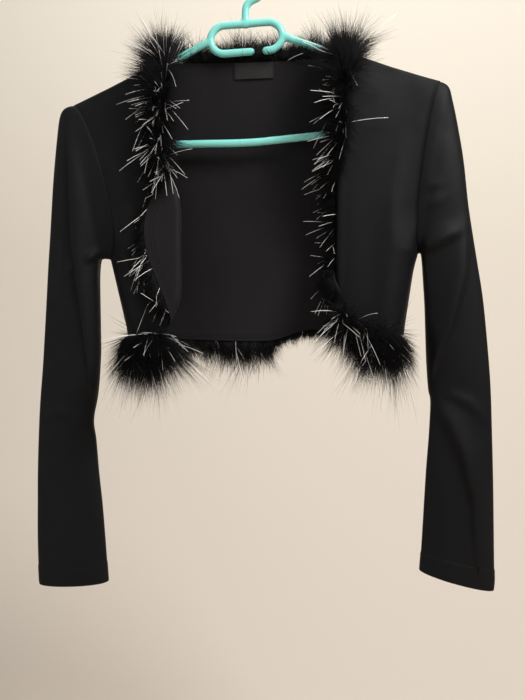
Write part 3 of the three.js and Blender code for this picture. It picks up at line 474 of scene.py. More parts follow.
def wall(name, grid, thick, materials, ring=False, outside=1):
    """A cloth wall on a grid of middle points: first material outside, second inside."""
    rows, columns = grid.shape[:2]
    normal = grid_normals(grid, ring)
    half = np.asarray(thick)[..., None] / 2 if np.ndim(thick) else thick / 2
    points = np.concatenate([(grid + normal * half).reshape(-1, 3), (grid - normal * half).reshape(-1, 3)])
    index = np.arange(rows * columns).reshape(rows, columns)
    if ring:
        index = np.concatenate([index, index[:, :1]], axis=1)
    a, b, c, d = index[:-1, :-1], index[:-1, 1:], index[1:, 1:], index[1:, :-1]
    outer = np.stack([a, b, c, d], -1).reshape(-1, 4)
    layer = rows * columns
    inner = outer[:, ::-1] + layer
    low, high = index[0], index[-1]
    rims = [np.stack([low[:-1] + layer, low[1:] + layer, low[1:], low[:-1]], -1),
            np.stack([high[:-1], high[1:], high[1:] + layer, high[:-1] + layer], -1)]
    if not ring:
        first, final = index[:, 0], index[:, -1]
        rims += [np.stack([first[:-1], first[1:], first[1:] + layer, first[:-1] + layer], -1),
                 np.stack([final[:-1] + layer, final[1:] + layer, final[1:], final[:-1]], -1)]
    rim = np.concatenate(rims)
    faces = np.concatenate([outer, inner, rim])
    sides = (0, 1) if outside > 0 else (1, 0)
    slots = [sides[0]] * len(outer) + [sides[1]] * len(inner) + [0] * len(rim)
    if outside < 0:
        faces = faces[:, ::-1]
    mesh = bpy.data.meshes.new(name)
    mesh.from_pydata((points * MM).tolist(), [], faces.tolist())
    for material in materials:
        mesh.materials.append(material)
    mesh.polygons.foreach_set("material_index", slots)
    mesh.polygons.foreach_set("use_smooth", [True] * len(mesh.polygons))
    mesh.update()
    mesh.set_sharp_from_angle(angle=math.radians(50))
    return put(name, mesh)


# Materials

def node_material(name, base, rough, **values):
    """A plain surface with its node tree, shader and object coordinates; values by their sockets' names."""
    material = bpy.data.materials.new(name)
    material.use_nodes = True
    tree = material.node_tree
    shader = tree.nodes["Principled BSDF"]
    shader.inputs["Base Color"].default_value = (*base, 1)
    shader.inputs["Roughness"].default_value = rough
    for key, value in values.items():
        shader.inputs[key.replace("_", " ")].default_value = value
    return material, tree, shader, tree.nodes.new("ShaderNodeTexCoord").outputs["Object"]


def texture_node(tree, coords, scale, *kind):
    """A noise texture of a given detail, or waves with their direction and distortion."""
    if len(kind) == 1:
        node = tree.nodes.new("ShaderNodeTexNoise")
        node.inputs["Detail"].default_value = kind[0]
    else:
        node = tree.nodes.new("ShaderNodeTexWave")
        node.bands_direction, node.inputs["Distortion"].default_value = kind
        node.inputs["Detail"].default_value = 0.0
    node.inputs["Scale"].default_value = scale
    tree.links.new(coords, node.inputs["Vector"])
    return node.outputs["Fac"]


def map_node(tree, value, low, high, to_low, to_high):
    node = tree.nodes.new("ShaderNodeMapRange")
    for key, number in zip(["From Min", "From Max", "To Min", "To Max"], [low, high, to_low, to_high]):
        node.inputs[key].default_value = number
    tree.links.new(value, node.inputs["Value"])
    return node.outputs["Result"]


def colour_by(tree, shader, value, low, dark, high, light):
    """Colours a surface from dark at the low value to light at the high one."""
    ramp = tree.nodes.new("ShaderNodeValToRGB")
    for element, place, colour in zip(ramp.color_ramp.elements, (low, high), (dark, light)):
        element.position = place
        element.color = (*colour, 1)
    tree.links.new(value, ramp.inputs["Fac"])
    tree.links.new(ramp.outputs["Color"], shader.inputs["Base Color"])


def textured(name, base, rough, colours=None, roughness=None, bumps=(), **values):
    """A surface whose colour, roughness and bumps follow textures, each named by its settings.

    colours: texture, low value, its colour, high value, its colour. roughness: texture, least, most.
    bumps: texture, strength, depth in metres.
    """
    material, tree, shader, coords = node_material(name, base, rough, **values)
    made = {}

    def texture(setting):
        if setting not in made:
            made[setting] = texture_node(tree, coords, *setting)
        return made[setting]

    if colours:
        colour_by(tree, shader, texture(colours[0]), *colours[1:])
    if roughness:
        value = map_node(tree, texture(roughness[0]), 0.3, 0.7, *roughness[1:])
        tree.links.new(value, shader.inputs["Roughness"])
    before = None
    for setting, strength, depth in bumps:
        bump = tree.nodes.new("ShaderNodeBump")
        bump.inputs["Strength"].default_value = strength
        bump.inputs["Distance"].default_value = depth
        tree.links.new(texture(setting), bump.inputs["Height"])
        if before is not None:
            tree.links.new(before, bump.inputs["Normal"])
        before = bump.outputs["Normal"]
        tree.links.new(before, shader.inputs["Normal"])
    return material


def knit_material(name, dark, light, sheen, rough):
    """Fine stretch jersey: narrow wales down the cloth, tiny courses across, and a soft low sheen."""
    broad, fine, wales, courses = (14, 4), (900, 2), (420, "X", 1.2), (520, "Z", 1.5)
    bumps = [(broad, 0.25, 0.0012), (wales, 0.35, 0.00012), (courses, 0.25, 0.0001), (fine, 0.3, 0.00012)]
    return textured(name, dark, rough, (broad, 0.3, dark, 0.75, light), ((45, 3), rough - 0.05, rough + 0.07),
                    bumps, Sheen_Weight=sheen, Sheen_Roughness=0.45, Sheen_Tint=(0.75, 0.72, 0.78, 1),
                    Specular_IOR_Level=0.16)


KNIT = knit_material("knit_outside", (0.0016, 0.0017, 0.0023), (0.0026, 0.0028, 0.0036), 0.028, 0.58)
KNIT_INSIDE = knit_material("knit_inside", (0.0067, 0.006, 0.0071), (0.009, 0.0079, 0.0093), 0.055, 0.66)
FLUFF = textured("fluff_black", (0.004, 0.004, 0.004), 0.7,
                 ((120, 2), 0.35, (0.002, 0.002, 0.0025), 0.7, (0.006, 0.0055, 0.006)),
                 ((120, 2), 0.65, 0.85), Sheen_Weight=0.03, Sheen_Roughness=0.4, Specular_IOR_Level=0.15)
TINSEL = textured("tinsel_silver", (1, 0.98, 0.96), 0.3,
                  ((160, 2), 0.35, (0.9, 0.87, 0.87), 0.6, (1, 0.98, 0.96)),
                  bumps=[((500, 1), 0.3, 0.0002)], Coat_Weight=0.5)
# Glossy moulded plastic, a little cloudy, with faint flow marks
PLASTIC = textured("hanger_turquoise", (0.23, 0.69, 0.63), 0.24,
                   ((25, 3), 0.3, (0.21, 0.66, 0.6), 0.72, (0.25, 0.72, 0.66)), ((90, 3), 0.2, 0.3),
                   [((60, 2), 0.12, 0.0006)], Coat_Weight=0.3, Coat_Roughness=0.12,
                   Subsurface_Weight=0.12, Subsurface_Scale=0.003)
LABEL_CLOTH = textured("label_woven", (0.009, 0.0075, 0.0075), 0.6,
                       ((300, 2), 0.3, (0.006, 0.005, 0.005), 0.7, (0.013, 0.011, 0.011)),
                       bumps=[((700, "X", 0), 0.5, 0.0001), ((500, "Z", 0), 0.4, 0.0001)],
                       Sheen_Weight=0.05, Specular_IOR_Level=0.3)
THREAD = textured("thread_black", (0.002, 0.002, 0.0022), 0.55, bumps=[((1500, "DIAGONAL", 0), 0.5, 0.0001)],
                  Sheen_Weight=0.02, Specular_IOR_Level=0.25)


# Cloth pieces

def distance_to(grid, edge):
    return np.linalg.norm(grid - edge, axis=-1)


def seam_dip(grid, distance, deep=0.5, ring=False):
    """Pulls cloth in where it is sewn to its neighbour."""
    return grid - grid_normals(grid, ring) * (deep * np.exp(-((distance / SEAM_WIDE) ** 2)))[..., None]


def cloth_wall(node, grid, thick, outside, ring=False):
    """A wall of knit that stands for a solid."""
    piece = wall(f"{node}_cloth", grid, thick, [KNIT, KNIT_INSIDE], ring, outside)
    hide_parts(node)
    return piece


def edge_stops(count):
    """Shares from an edge inwards, closer together at the edge."""
    return np.concatenate([[0.0, 0.0035, 0.008, 0.014, 0.022], np.linspace(0.03, 1, count)])


CUFF_HEM = {-1: 0.91, 1: 0.885}  # where the cuff's hem is folded up to, 24 mm above its end, on each hand
CUFF_STITCHES = (0.006, 0.0115)  # rows of stitches below that fold
SLEEVE_COLUMNS = 112


def make_sleeve(node, surface, hand):
    fold = CUFF_HEM[hand]
    stops = np.concatenate([[0, 0.0015, 0.0035, 0.006], np.linspace(0.01, fold - 0.008, 132),
                            fold + np.array([-0.004, -0.0015, 0, 0.0015, 0.004]),
                            np.linspace(fold + 0.012, 0.997, 12), [0.999, 1.0]])
    angles = np.linspace(0, 2 * math.pi, SLEEVE_COLUMNS, endpoint=False)
    grid = surface(stops[:, None], angles[None, :])
    grid = seam_dip(grid, distance_to(grid, grid[:1]), 0.5 * hand, ring=True)
    hem = smooth(fold - 0.002, fold + 0.002, stops)[:, None]
    groove = np.exp(-(((stops - fold) / 0.002) ** 2))[:, None]
    thick = CLOTH + 0.7 * hem - 0.25 * groove + np.zeros(grid.shape[:2])
    return cloth_wall(node, grid, thick, hand, ring=True)


BELOW_SHOULDER = np.array([18, 14, 10, 7.6, 6.2, 4.8, 3.4, 2.3, 1.4, 0.7, 0.25, 0])
ROW_STOPS = np.concatenate([np.linspace(0, 0.024, 6), [0.027, 0.03, 0.034], np.linspace(0.045, 0.93, 74),
                            1 - BELOW_SHOULDER / PANEL_TALL])
HEM_SHARE = 0.03  # top of the doubled hem, as a share of the panel's rows
HEM_STITCHES = (0.013, 0.024)
STEPS = {"edge": 4, "turn": 14, "laid": 12}  # columns of a front's free edge, before, round and past its roll


def hem_thickness(shape, rows):
    hem = 1 - smooth(HEM_SHARE - 0.0015, HEM_SHARE + 0.0015, rows)
    groove = np.exp(-(((rows - HEM_SHARE) / 0.002) ** 2))
    return CLOTH + (0.6 * hem - 0.2 * groove)[:, None] + np.zeros(shape)


def make_front(node, front):
    rows = ROW_STOPS[:, None]
    length = front.length(ROW_STOPS)
    edge = np.full(len(ROW_STOPS), STRIP["inset"])
    turn = np.minimum(length - STRIP["inset"], math.pi * ROLL)
    laid = length - STRIP["inset"] - turn
    spans = np.concatenate([np.repeat(np.maximum(span / STEPS[part], 0.1)[:, None], STEPS[part], 1)
                            for part, span in (("edge", edge), ("turn", turn), ("laid", laid))], 1)
    reach = np.concatenate([np.zeros((len(ROW_STOPS), 1)), np.cumsum(spans, 1)], 1)
    reach *= (length / reach[:, -1])[:, None]
    grid = np.concatenate([front.flat(edge_stops(52)[None, :-1], rows), front.rolled(rows, reach)], 1)
    grid = seam_dip(grid, np.minimum(distance_to(grid, grid[:, :1]), distance_to(grid, grid[-1:])))
    return cloth_wall(node, grid, hem_thickness(grid.shape[:2], ROW_STOPS), front.inward)


def make_back(node):
    near = edge_stops(28)
    neck = np.array([0, 0.004, 0.01, 0.016, 0.022, 0.03, 0.04, 0.06, 0.09, 0.13, 0.18, 0.24, 0.3, 0.37, 0.44])
    neck = np.concatenate([neck, [0.5], 1 - neck[::-1]])
    stops = np.concatenate([near * SHOULDER_SHARE, mix(SHOULDER_SHARE, 1 - SHOULDER_SHARE, neck[1:-1]),
                            1 - near[::-1] * SHOULDER_SHARE])
    grid = back(stops[None, :], ROW_STOPS[:, None])
    sides = np.minimum(distance_to(grid, grid[:, :1]), distance_to(grid, grid[:, -1:]))
    top = distance_to(grid, grid[-1:])
    open_neck = ((stops > SHOULDER_SHARE) & (stops < 1 - SHOULDER_SHARE))[None, :]
    grid = seam_dip(grid, np.where(open_neck, sides, np.minimum(sides, top)))
    return cloth_wall(node, grid, hem_thickness(grid.shape[:2], ROW_STOPS), -1)


sleeve_right_piece = make_sleeve("sleeve_right", sleeve_right, -1)
sleeve_left_piece = make_sleeve("sleeve_left", sleeve_left, 1)
front_right_piece = make_front("front_right", front_right)
front_left_piece = make_front("front_left", front_left)
back_piece = make_back("back")


NEARBY = 0.002  # step between shares that gives a surface's slope


def back_at(x, z):
    """Where the back lies at a given X and Z."""
    s, t = np.full_like(x, 0.5), np.full_like(x, 0.8)
    step = NEARBY
    for _ in range(12):
        here = back(s, t)
        ds = (back(s + step, t) - here) / step
        dt = (back(s, t + step) - here) / step
        det = ds[..., 0] * dt[..., 2] - ds[..., 2] * dt[..., 0]
        s = np.clip(s + ((x - here[..., 0]) * dt[..., 2] - (z - here[..., 2]) * dt[..., 0]) / det, 0, 0.995)
        t = np.clip(t + (ds[..., 0] * (z - here[..., 2]) - ds[..., 2] * (x - here[..., 0])) / det, 0, 0.995)
    return back(s, t)


def make_label():
    columns, rows = 34, 16
    x, z = np.meshgrid(np.linspace(LABEL["left"], LABEL["right"], columns),
                       np.linspace(LABEL["bottom"], LABEL["top"], rows))
    grid = back_at(x, z)
    bulge = np.sin(np.linspace(0, math.pi, columns))[None, :] * np.linspace(1, 0, rows)[:, None]
    grid[..., 1] -= CLOTH / 2 + REST + LABEL["thick"] / 2 + 0.5 + 0.7 * bulge
    piece = wall("label_piece", grid, LABEL["thick"], [LABEL_CLOTH, LABEL_CLOTH])
    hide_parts("label")
    return piece


label_piece = make_label()


# Hanger: bars of round section, blended where they meet

BAR = {"sides": 20, "step": 1.6, "cap_rings": 5}


def bar_mesh(points, radius):
    """Rings of a round bar along points, with rounded ends; points as x and z in the hanger's frame."""
    places = np.array([lean(x, z) for x, z in points], float)
    count = max(int(along_line(places)[-1] / BAR["step"]), 8)
    centre = by_length(spline(places), [0, 1], 1500)(np.linspace(0, 1, count + 1))
    tangent = unit(np.gradient(centre, axis=0))
    turn = np.linspace(0.15, 1, BAR["cap_rings"]) * math.pi / 2
    cap = np.sin(turn) * radius
    shift = (1 - np.cos(turn)) * radius
    start = centre[0] - tangent[0] * (radius - shift)[:, None]
    end = centre[-1] + tangent[-1] * (radius - shift[::-1])[:, None]
    sizes = np.concatenate([cap, np.full(count + 1, radius), cap[::-1]])
    centre = np.concatenate([start, centre, end])
    tangent = np.pad(tangent, ((BAR["cap_rings"], BAR["cap_rings"]), (0, 0)), "edge")
    angle = np.linspace(0, 2 * math.pi, BAR["sides"], endpoint=False)
    side = np.stack([-tangent[:, 1], tangent[:, 0]], -1)
    x = centre[:, None, 0] + sizes[:, None] * np.cos(angle) * side[:, None, 0]
    z = centre[:, None, 1] + sizes[:, None] * np.cos(angle) * side[:, None, 1]
    y = sizes[:, None] * np.sin(angle) + 0 * x
    return np.stack([x, y, z], -1)


def join_bars(name, bars):
    """One mesh of several closed bars."""
    points, faces = [], []
    offset = 0
    for grid in bars:
        rows, sides = grid.shape[:2]
        index = np.arange(rows * sides).reshape(rows, sides) + offset
        ring = np.concatenate([index, index[:, :1]], 1)
        quads = np.stack([ring[:-1, :-1], ring[:-1, 1:], ring[1:, 1:], ring[1:, :-1]], -1).reshape(-1, 4)
        faces += quads.tolist() + [index[0, ::-1].tolist(), index[-1].tolist()]
        points.append(grid.reshape(-1, 3))
        offset += rows * sides
    mesh = bpy.data.meshes.new(name)
    mesh.from_pydata((np.concatenate(points) * MM).tolist(), [], faces)
    mesh.materials.append(PLASTIC)
    return put(name, mesh)


def arc(cx, cz, radius, start, end, steps):
    return [(cx + radius * math.cos(a), cz + radius * math.sin(a))
            for a in np.radians(np.linspace(start, end, steps + 1))]


def make_hanger():
    centre = HOOK["lift"] - HOOK["radius"]
    stem = [(0, HOOK["stem_foot"]), (0, HOOK["stem_foot"] + 12), (1.5, centre - HOOK["radius"] - 3),
            (8, centre - HOOK["radius"] + 2.5)]
    hook = stem + arc(0, centre, HOOK["radius"], -55, 205, 14)
    end_x, end_z = HANGER["half"] - HANGER["bend"], HANGER["bar"] + HANGER["bend"]
    half = [(x, float(arm_height(x))) for x in (LOOP["half"], 55, 80, 110, 140, 165, 185)]
    half += arc(end_x, end_z, HANGER["bend"], 58, -90, 9)
    half += [(120, HANGER["bar"]), (60, HANGER["bar"] - HANGER["sag"] / 2)]
    outline = half + [(0, HANGER["bar"] - HANGER["sag"])] + [(-x, z) for x, z in reversed(half)]
    middle, radius = (LOOP["top"] + LOOP["bottom"]) / 2, (LOOP["top"] - LOOP["bottom"]) / 2
    straight = LOOP["half"] - radius
    loop = [(LOOP["gap_from"], LOOP["bottom"]), (-straight / 2, LOOP["bottom"])]
    loop += arc(-straight, middle, radius, 270, 90, 8) + [(0, LOOP["top"])]
    loop += arc(straight, middle, radius, 90, -90, 8) + [(LOOP["gap_to"], LOOP["bottom"])]
    bars = [bar_mesh(line, TUBE + HANGER["fuller"]) for line in (outline, loop, hook)]
    piece = join_bars("hanger_moulded", bars)
    remesh = piece.modifiers.new("blend", "REMESH")
    remesh.mode = "VOXEL"
    remesh.voxel_size = HANGER["voxel"] * MM
    remesh.use_smooth_shade = True
    soften = piece.modifiers.new("soften", "SMOOTH")
    soften.factor = 0.5
    soften.iterations = 4
    bpy.context.view_layer.update()
    mesh = bpy.data.meshes.new_from_object(piece.evaluated_get(bpy.context.evaluated_depsgraph_get()))
    piece.modifiers.clear()
    piece.data = mesh
    mesh.polygons.foreach_set("use_smooth", [True] * len(mesh.polygons))
    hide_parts("hanger_frame", "hanger_hook")
    return piece


hanger_piece = make_hanger()


# Stitching and seam bindings

STITCH = {"length": 2.4, "gap": 0.9, "radius": 0.28}
STITCH_LIFT = CLOTH / 2 + 0.4  # of a hem's stitches, whose cloth is doubled
BINDING = {"radius": 1.1, "narrower": 0.86, "lower": 1.6}
FLAP_STITCHES = (7.0, 10.5)  # from the free edge
stitch_pieces = {}


def on_surface(surface, a, b, lift, towards):
    """Points laid on a surface, moved out along its normal on the side that faces the given way."""
    point = surface(a, b)
    normal = unit(np.cross(surface(a + NEARBY, b) - point, surface(a, b + NEARBY) - point))
    normal *= np.sign(normal @ np.array(towards, float))[:, None]
    return point + normal * lift, normal


def stitch_row(points, normals):
    """Short threads laid end to end along a line, each as a path with sunk ends."""
    along = along_line(points)
    starts = np.arange(0, along[-1] - STITCH["length"], STITCH["length"] + STITCH["gap"])
    places = starts[:, None] + STITCH["length"] * np.array([0, 0.18, 0.5, 0.82, 1])[None, :]
    sink = np.array([0.35, 0, -0.05, 0, 0.35])[None, :, None]
    path = np.stack([np.interp(places, along, points[:, k]) for k in range(3)], -1)
    facing = np.stack([np.interp(places, along, normals[:, k]) for k in range(3)], -1)
    return path - facing * sink


def stitches(name, rows, host):
    paths = np.concatenate([stitch_row(*row) for row in rows])
    piece = strand_mesh(name, paths, STITCH["radius"], THREAD, sides=4, point=False, taper_to=1.0)
    stitch_pieces.setdefault(host.name, []).append(piece)


def bind_seam(name, ring):
    """A dark overlocked seam allowance just inside an armhole."""
    path = np.concatenate([ring, ring[:1]])[None]
    piece = strand_mesh(name, path, BINDING["radius"], KNIT_INSIDE, sides=8, point=False, taper_to=1.0)
    return piece


def flap_rows(front):
    """Two rows of stitches along the free edge where it folds outwards."""
    rows = []
    up = np.linspace(0.1, 0.7, 400)
    for inset in FLAP_STITCHES:
        reach = np.maximum(front.length(up) - inset, 0.5)
        point = front.rolled(up, reach)
        beyond, above = front.rolled(up, reach + 0.5), front.rolled(up + 0.003, reach)
        normal = unit(np.cross(beyond - point, above - point))
        normal *= np.sign(normal[:, 1:2]) * -1
        rows.append((point + normal * (CLOTH / 2 + 0.15), normal))
    return rows


def cuff_rows(surface, hand):
    turn = np.linspace(0, 2 * math.pi, 400)
    rows = []
    for below in CUFF_STITCHES:
        share = np.full_like(turn, CUFF_HEM[hand] + below)
        point, normal = on_surface(surface, share, turn, STITCH_LIFT, (0, -1, 0))
        side = np.sign(np.sin(turn + 1e-6))[:, None] * np.sign(normal[:, 1:2]) * -1
        rows.append((point + normal * (side - 1) * STITCH_LIFT, normal * side))
    return rows


def hem_rows(surface, *faces):
    """Two rows of stitches along a panel's hem, on each face named by its Y."""
    across = np.linspace(0.01, 0.99, 500)
    return [on_surface(surface, across, np.full_like(across, low), STITCH_LIFT, (0, face, 0))
            for face in faces for low in HEM_STITCHES]


def sew_everything():
    stitches("stitches_cuff_right", cuff_rows(sleeve_right, -1), sleeve_right_piece)
    stitches("stitches_cuff_left", cuff_rows(sleeve_left, 1), sleeve_left_piece)
    stitches("stitches_back_hem", hem_rows(back, -1, 1), back_piece)
    rows = hem_rows(front_right.flat, -1) + flap_rows(front_right)
    stitches("stitches_front_right", rows, front_right_piece)
    stitches("stitches_front_left", hem_rows(front_left.flat, -1), front_left_piece)
    height = np.linspace(LABEL["bottom"] + 1, LABEL["top"] - 1, 40)
    rows = []
    for x in (LABEL["left"] + 1.2, LABEL["right"] - 1.2):
        point = back_at(np.full_like(height, x), height)
        point[:, 1] -= CLOTH / 2 + REST + LABEL["thick"] + 0.6
        rows.append((point, np.tile([0.0, -1, 0], (len(point), 1))))
    stitches("stitches_label", rows, label_piece)


# Fluffy trim

STRIP_LIFT = CLOTH / 2 + STRIP["stand"] + STRIP["radius"]


def stations_of(at, ahead, after, sign):
    """Places of a trim's strip, which lies on the cloth just inside its edge."""
    out = unit(np.cross(unit(ahead - at), after - at) * sign)
    return at + out * STRIP_LIFT


def front_stations(front, low, high):
    """Places of a strip along a front's free edge, between two shares of its height."""
    t = np.linspace(low, high, 160)
    reach = front.turned(t)
    at = front.rolled(t, reach)
    ahead = front.rolled(t, reach + STRIP["inset"] / 2)
    after = front.rolled(t + 0.004, front.turned(t + 0.004))
    return stations_of(at, ahead, after, front.inward)


def edge_stations(surface, low, high, t_edge, face):
    """Places of a strip along a hem or neck, between two shares of its width, on the face named by its Y."""
    s = np.linspace(low, high, 120)
    at = surface(s, np.full_like(s, abs(t_edge - STRIP["inset"] / PANEL_TALL)))
    beyond = unit(surface(s, np.full_like(s, t_edge)) - at)
    out = np.array([0.0, face, 0.0])
    return at + unit(out - beyond * (beyond @ out)[:, None]) * STRIP_LIFT


def cloth_tree():
    points, faces = [], []
    for piece in (back_piece, front_right_piece, front_left_piece, sleeve_right_piece, sleeve_left_piece,
                  hanger_piece, label_piece):
        offset = len(points)
        points += [vertex.co.copy() for vertex in piece.data.vertices]
        faces += [[offset + i for i in polygon.vertices] for polygon in piece.data.polygons]
    return BVHTree.FromPolygons(points, faces)


TREE = cloth_tree()
CLEARANCE = 0.6  # how far past its end each stretch of a strand must be clear


def clear_of_cloth(paths):
    """Marks the paths whose stretches meet no cloth and no hanger."""
    scaled = paths * MM
    steps = np.diff(scaled, axis=1)
    reach = np.linalg.norm(steps, axis=-1) + CLEARANCE * MM
    return np.array([all(TREE.ray_cast(Vector(start), Vector(step), far)[0] is None
                         for start, step, far in zip(*path)) for path in zip(scaled, steps, reach)])


def places_at(stations, share):
    index = np.clip(share, 0, 1) * (len(stations) - 1)
    low = np.minimum(index.astype(int), len(stations) - 2)
    return mix(stations[low], stations[low + 1], (index - low)[:, None])


def comb_at(comb, share):
    """Columns of a combing table at the given places along the strip."""
    table = np.array(comb, float)
    return np.stack([np.interp(share, table[:, 0], column) for column in table.T[1:]], -1)


def strand_paths(stations, comb, rng, count, crowded, per_tuft, bends, stray, curl=0.0, shortest=0.4,
                 reach=1.0, wild=0.0):
    """Curved strands in tufts along a strip. A tuft follows the comb, its strands stray a little from it."""
    tufts = max(count // per_tuft, 1)
    share = rng.random(tufts)
    share = mix(share, np.sin(share * math.pi / 2), crowded)
    row = comb_at(comb, share)
    loose = unit(rng.normal(0, 1, (tufts, 3)))
    aim = unit(row[:, :3]) + (row[:, 4:5] + wild) * loose
    size = row[:, 3] * rng.uniform(0.55, 1.08, tufts) * reach
    pick = np.repeat(np.arange(tufts), per_tuft)
    total = len(pick)
    root = places_at(stations, share[pick] + rng.normal(0, 0.005, total))
    heading = unit(aim[pick] + rng.normal(0, stray, (total, 3)))
    length = size[pick] * rng.uniform(shortest, 1.0, total)
    tuft_side = unit(np.cross(aim, rng.normal(0, 1, (tufts, 3))))
    bend = tuft_side[pick] * curl + rng.normal(0, curl * 0.4, (total, 3)) + DROOP
    steps = np.linspace(0, 1, bends + 1)[None, :, None]
    start = root + heading * STRIP["radius"] * 0.4
    return start[:, None] + length[:, None, None] * (heading[:, None] * steps + bend[:, None] * steps**2)


def kinked(strands, rng):
    """Bends the far half of some strands."""
    bent = np.array([0, 0, 0, 0.5, 1])[None, :, None] * rng.normal(0, KINK["far"], (len(strands), 1, 3))
    return strands + (rng.random(len(strands)) < KINK["share"])[:, None, None] * bent


def kept(paths, count):
    """The first strands that stay off the cloth, between the sleeves and no deeper than the solids' trims."""
    low, high = paths.min(1), paths.max(1)
    between = (low[:, 0] > BETWEEN["right"]) & (high[:, 0] < BETWEEN["left"])
    between &= (low[:, 1] > BETWEEN["front"]) & (high[:, 1] < BETWEEN["back"])
    paths = paths[between]
    return paths[clear_of_cloth(paths)][:count]


def strand_mesh(name, paths, radius, material, flat=1.0, sides=3, point=True, taper_to=0.45):
    """Thin closed strands along paths, ending in a point or cut off."""
    count, stops = paths.shape[:2]
    tangent = unit(np.gradient(paths, axis=1))
    helper = np.where(np.abs(tangent[..., 2:3]) < 0.9, np.array([0, 0, 1.0]), np.array([1.0, 0, 0]))
    u = unit(np.cross(helper, tangent))
    v = np.cross(tangent, u)
    body = stops - 1 if point else stops
    taper = np.linspace(1, taper_to, stops)[:body]
    angle = np.arange(sides) / sides * 2 * math.pi + math.pi / sides
    size = np.asarray(radius).reshape(-1, 1) * taper[None, :]
    rings = (paths[:, :body, None] + (size[..., None] * flat * np.cos(angle))[..., None] * u[:, :body, None]
             + (size[..., None] * np.sin(angle))[..., None] * v[:, :body, None])
    per = body * sides + (1 if point else 0)
    points = rings.reshape(count, body * sides, 3)
    if point:
        points = np.concatenate([points, paths[:, -1:]], 1)
    k = np.arange(sides)
    following = (k + 1) % sides
    quads = [j * sides + np.stack([k, following, sides + following, sides + k], -1) for j in range(body - 1)]
    corners = np.concatenate(quads) if quads else np.zeros((0, 4), int)
    triangles = np.concatenate([corners[:, [0, 1, 2]], corners[:, [0, 2, 3]]])
    low_cap = np.stack([np.zeros(sides - 2, int), k[2:], k[1:-1]], -1)
    top = (body - 1) * sides
    if point:
        high = np.stack([top + k, top + following, np.full(sides, per - 1)], -1)
    else:
        high = np.stack([np.full(sides - 2, top), top + k[1:-1], top + k[2:]], -1)
    triangles = np.concatenate([triangles, low_cap, high])
    faces = (triangles[None] + (np.arange(count) * per)[:, None, None]).reshape(-1, 3)
    mesh = bpy.data.meshes.new(name)
    mesh.vertices.add(count * per)
    mesh.vertices.foreach_set("co", (points * MM).astype(np.float32).ravel())
    mesh.loops.add(faces.size)
    mesh.loops.foreach_set("vertex_index", faces.astype(np.int32).ravel())
    mesh.polygons.add(len(faces))
    mesh.polygons.foreach_set("loop_start", np.arange(0, faces.size, 3, dtype=np.int32))
    mesh.polygons.foreach_set("use_smooth", np.ones(len(faces), bool))
    mesh.materials.append(material)
    mesh.update(calc_edges=True)
    mesh.validate()
    return put(name, mesh)


# Combing tables: place along the strip, heading as x, y and z, length, how far tufts stray from the heading
COMB_NECK = [
    (0, -0.2, 0.25, 0.9, 56, 0.6), (0.25, -0.3, 0.2, 0.9, 42, 0.6), (0.4, 0.15, 0.2, 1, 62, 0.6),
    (0.55, -0.2, 0.2, 1, 50, 0.6), (0.7, 0.3, 0.2, 0.9, 46, 0.6), (1, 0.2, 0.25, 0.9, 60, 0.6),
]
COMB_FRONT_RIGHT = [
    (0, -0.45, -0.25, -0.9, 44, 0.5), (0.3, -0.5, -0.2, -0.85, 40, 0.4), (0.45, -0.4, -0.45, -0.75, 44, 0.6),
    (0.55, 0, -0.6, -0.7, 52, 0.7), (0.68, 0.1, -0.6, -0.7, 54, 0.75), (0.8, -0.15, -0.55, -0.6, 52, 0.8),
    (0.9, -0.35, -0.4, 0.1, 56, 0.85), (0.96, -0.35, -0.15, 0.8, 66, 0.7), (1, -0.2, 0, 1, 70, 0.6),
]
COMB_FRONT_LEFT = [
    (0, -0.5, -0.3, -0.8, 42, 0.55), (0.12, -0.75, -0.1, -0.6, 36, 0.4), (0.5, -0.8, 0.05, -0.55, 38, 0.4),
    (0.62, -0.65, -0.2, -0.6, 42, 0.6), (0.74, -0.4, -0.6, -0.5, 48, 0.75), (0.86, -0.3, -0.6, 0.0, 58, 0.85),
    (0.94, -0.2, -0.35, 0.8, 68, 0.85), (1, -0.15, 0, 1, 68, 0.8),
]
COMB_HEM_RIGHT = [
    (0, 0.12, -0.3, -0.95, 70, 0.45), (0.5, 0.15, -0.4, -0.85, 74, 0.5), (1, 0.5, -0.35, -0.75, 80, 0.6),
]
COMB_HEM_LEFT = [
    (0, 0.2, -0.25, -0.95, 82, 0.5), (0.5, 0.25, -0.35, -0.9, 64, 0.55), (1, -0.1, -0.45, -0.7, 50, 0.75),
]
COMB_HEM_BACK = [
    (0, 0, 0.2, -1, 40, 0.45), (0.2, 0.35, 0.2, -1, 42, 0.55), (0.28, 0.4, 0.15, -1, 42, 0.6),
    (0.35, 0.3, 0.15, -1, 56, 0.5), (0.46, 0.15, 0.15, -1, 60, 0.5), (0.5, -0.1, 0.15, -1, 52, 0.5),
    (0.54, 0, 0.3, -0.9, 18, 0.5), (0.75, 0, 0.3, -0.9, 18, 0.5), (0.82, 0, 0.2, -1, 34, 0.4),
    (1, 0, 0.2, -1, 34, 0.4),
]

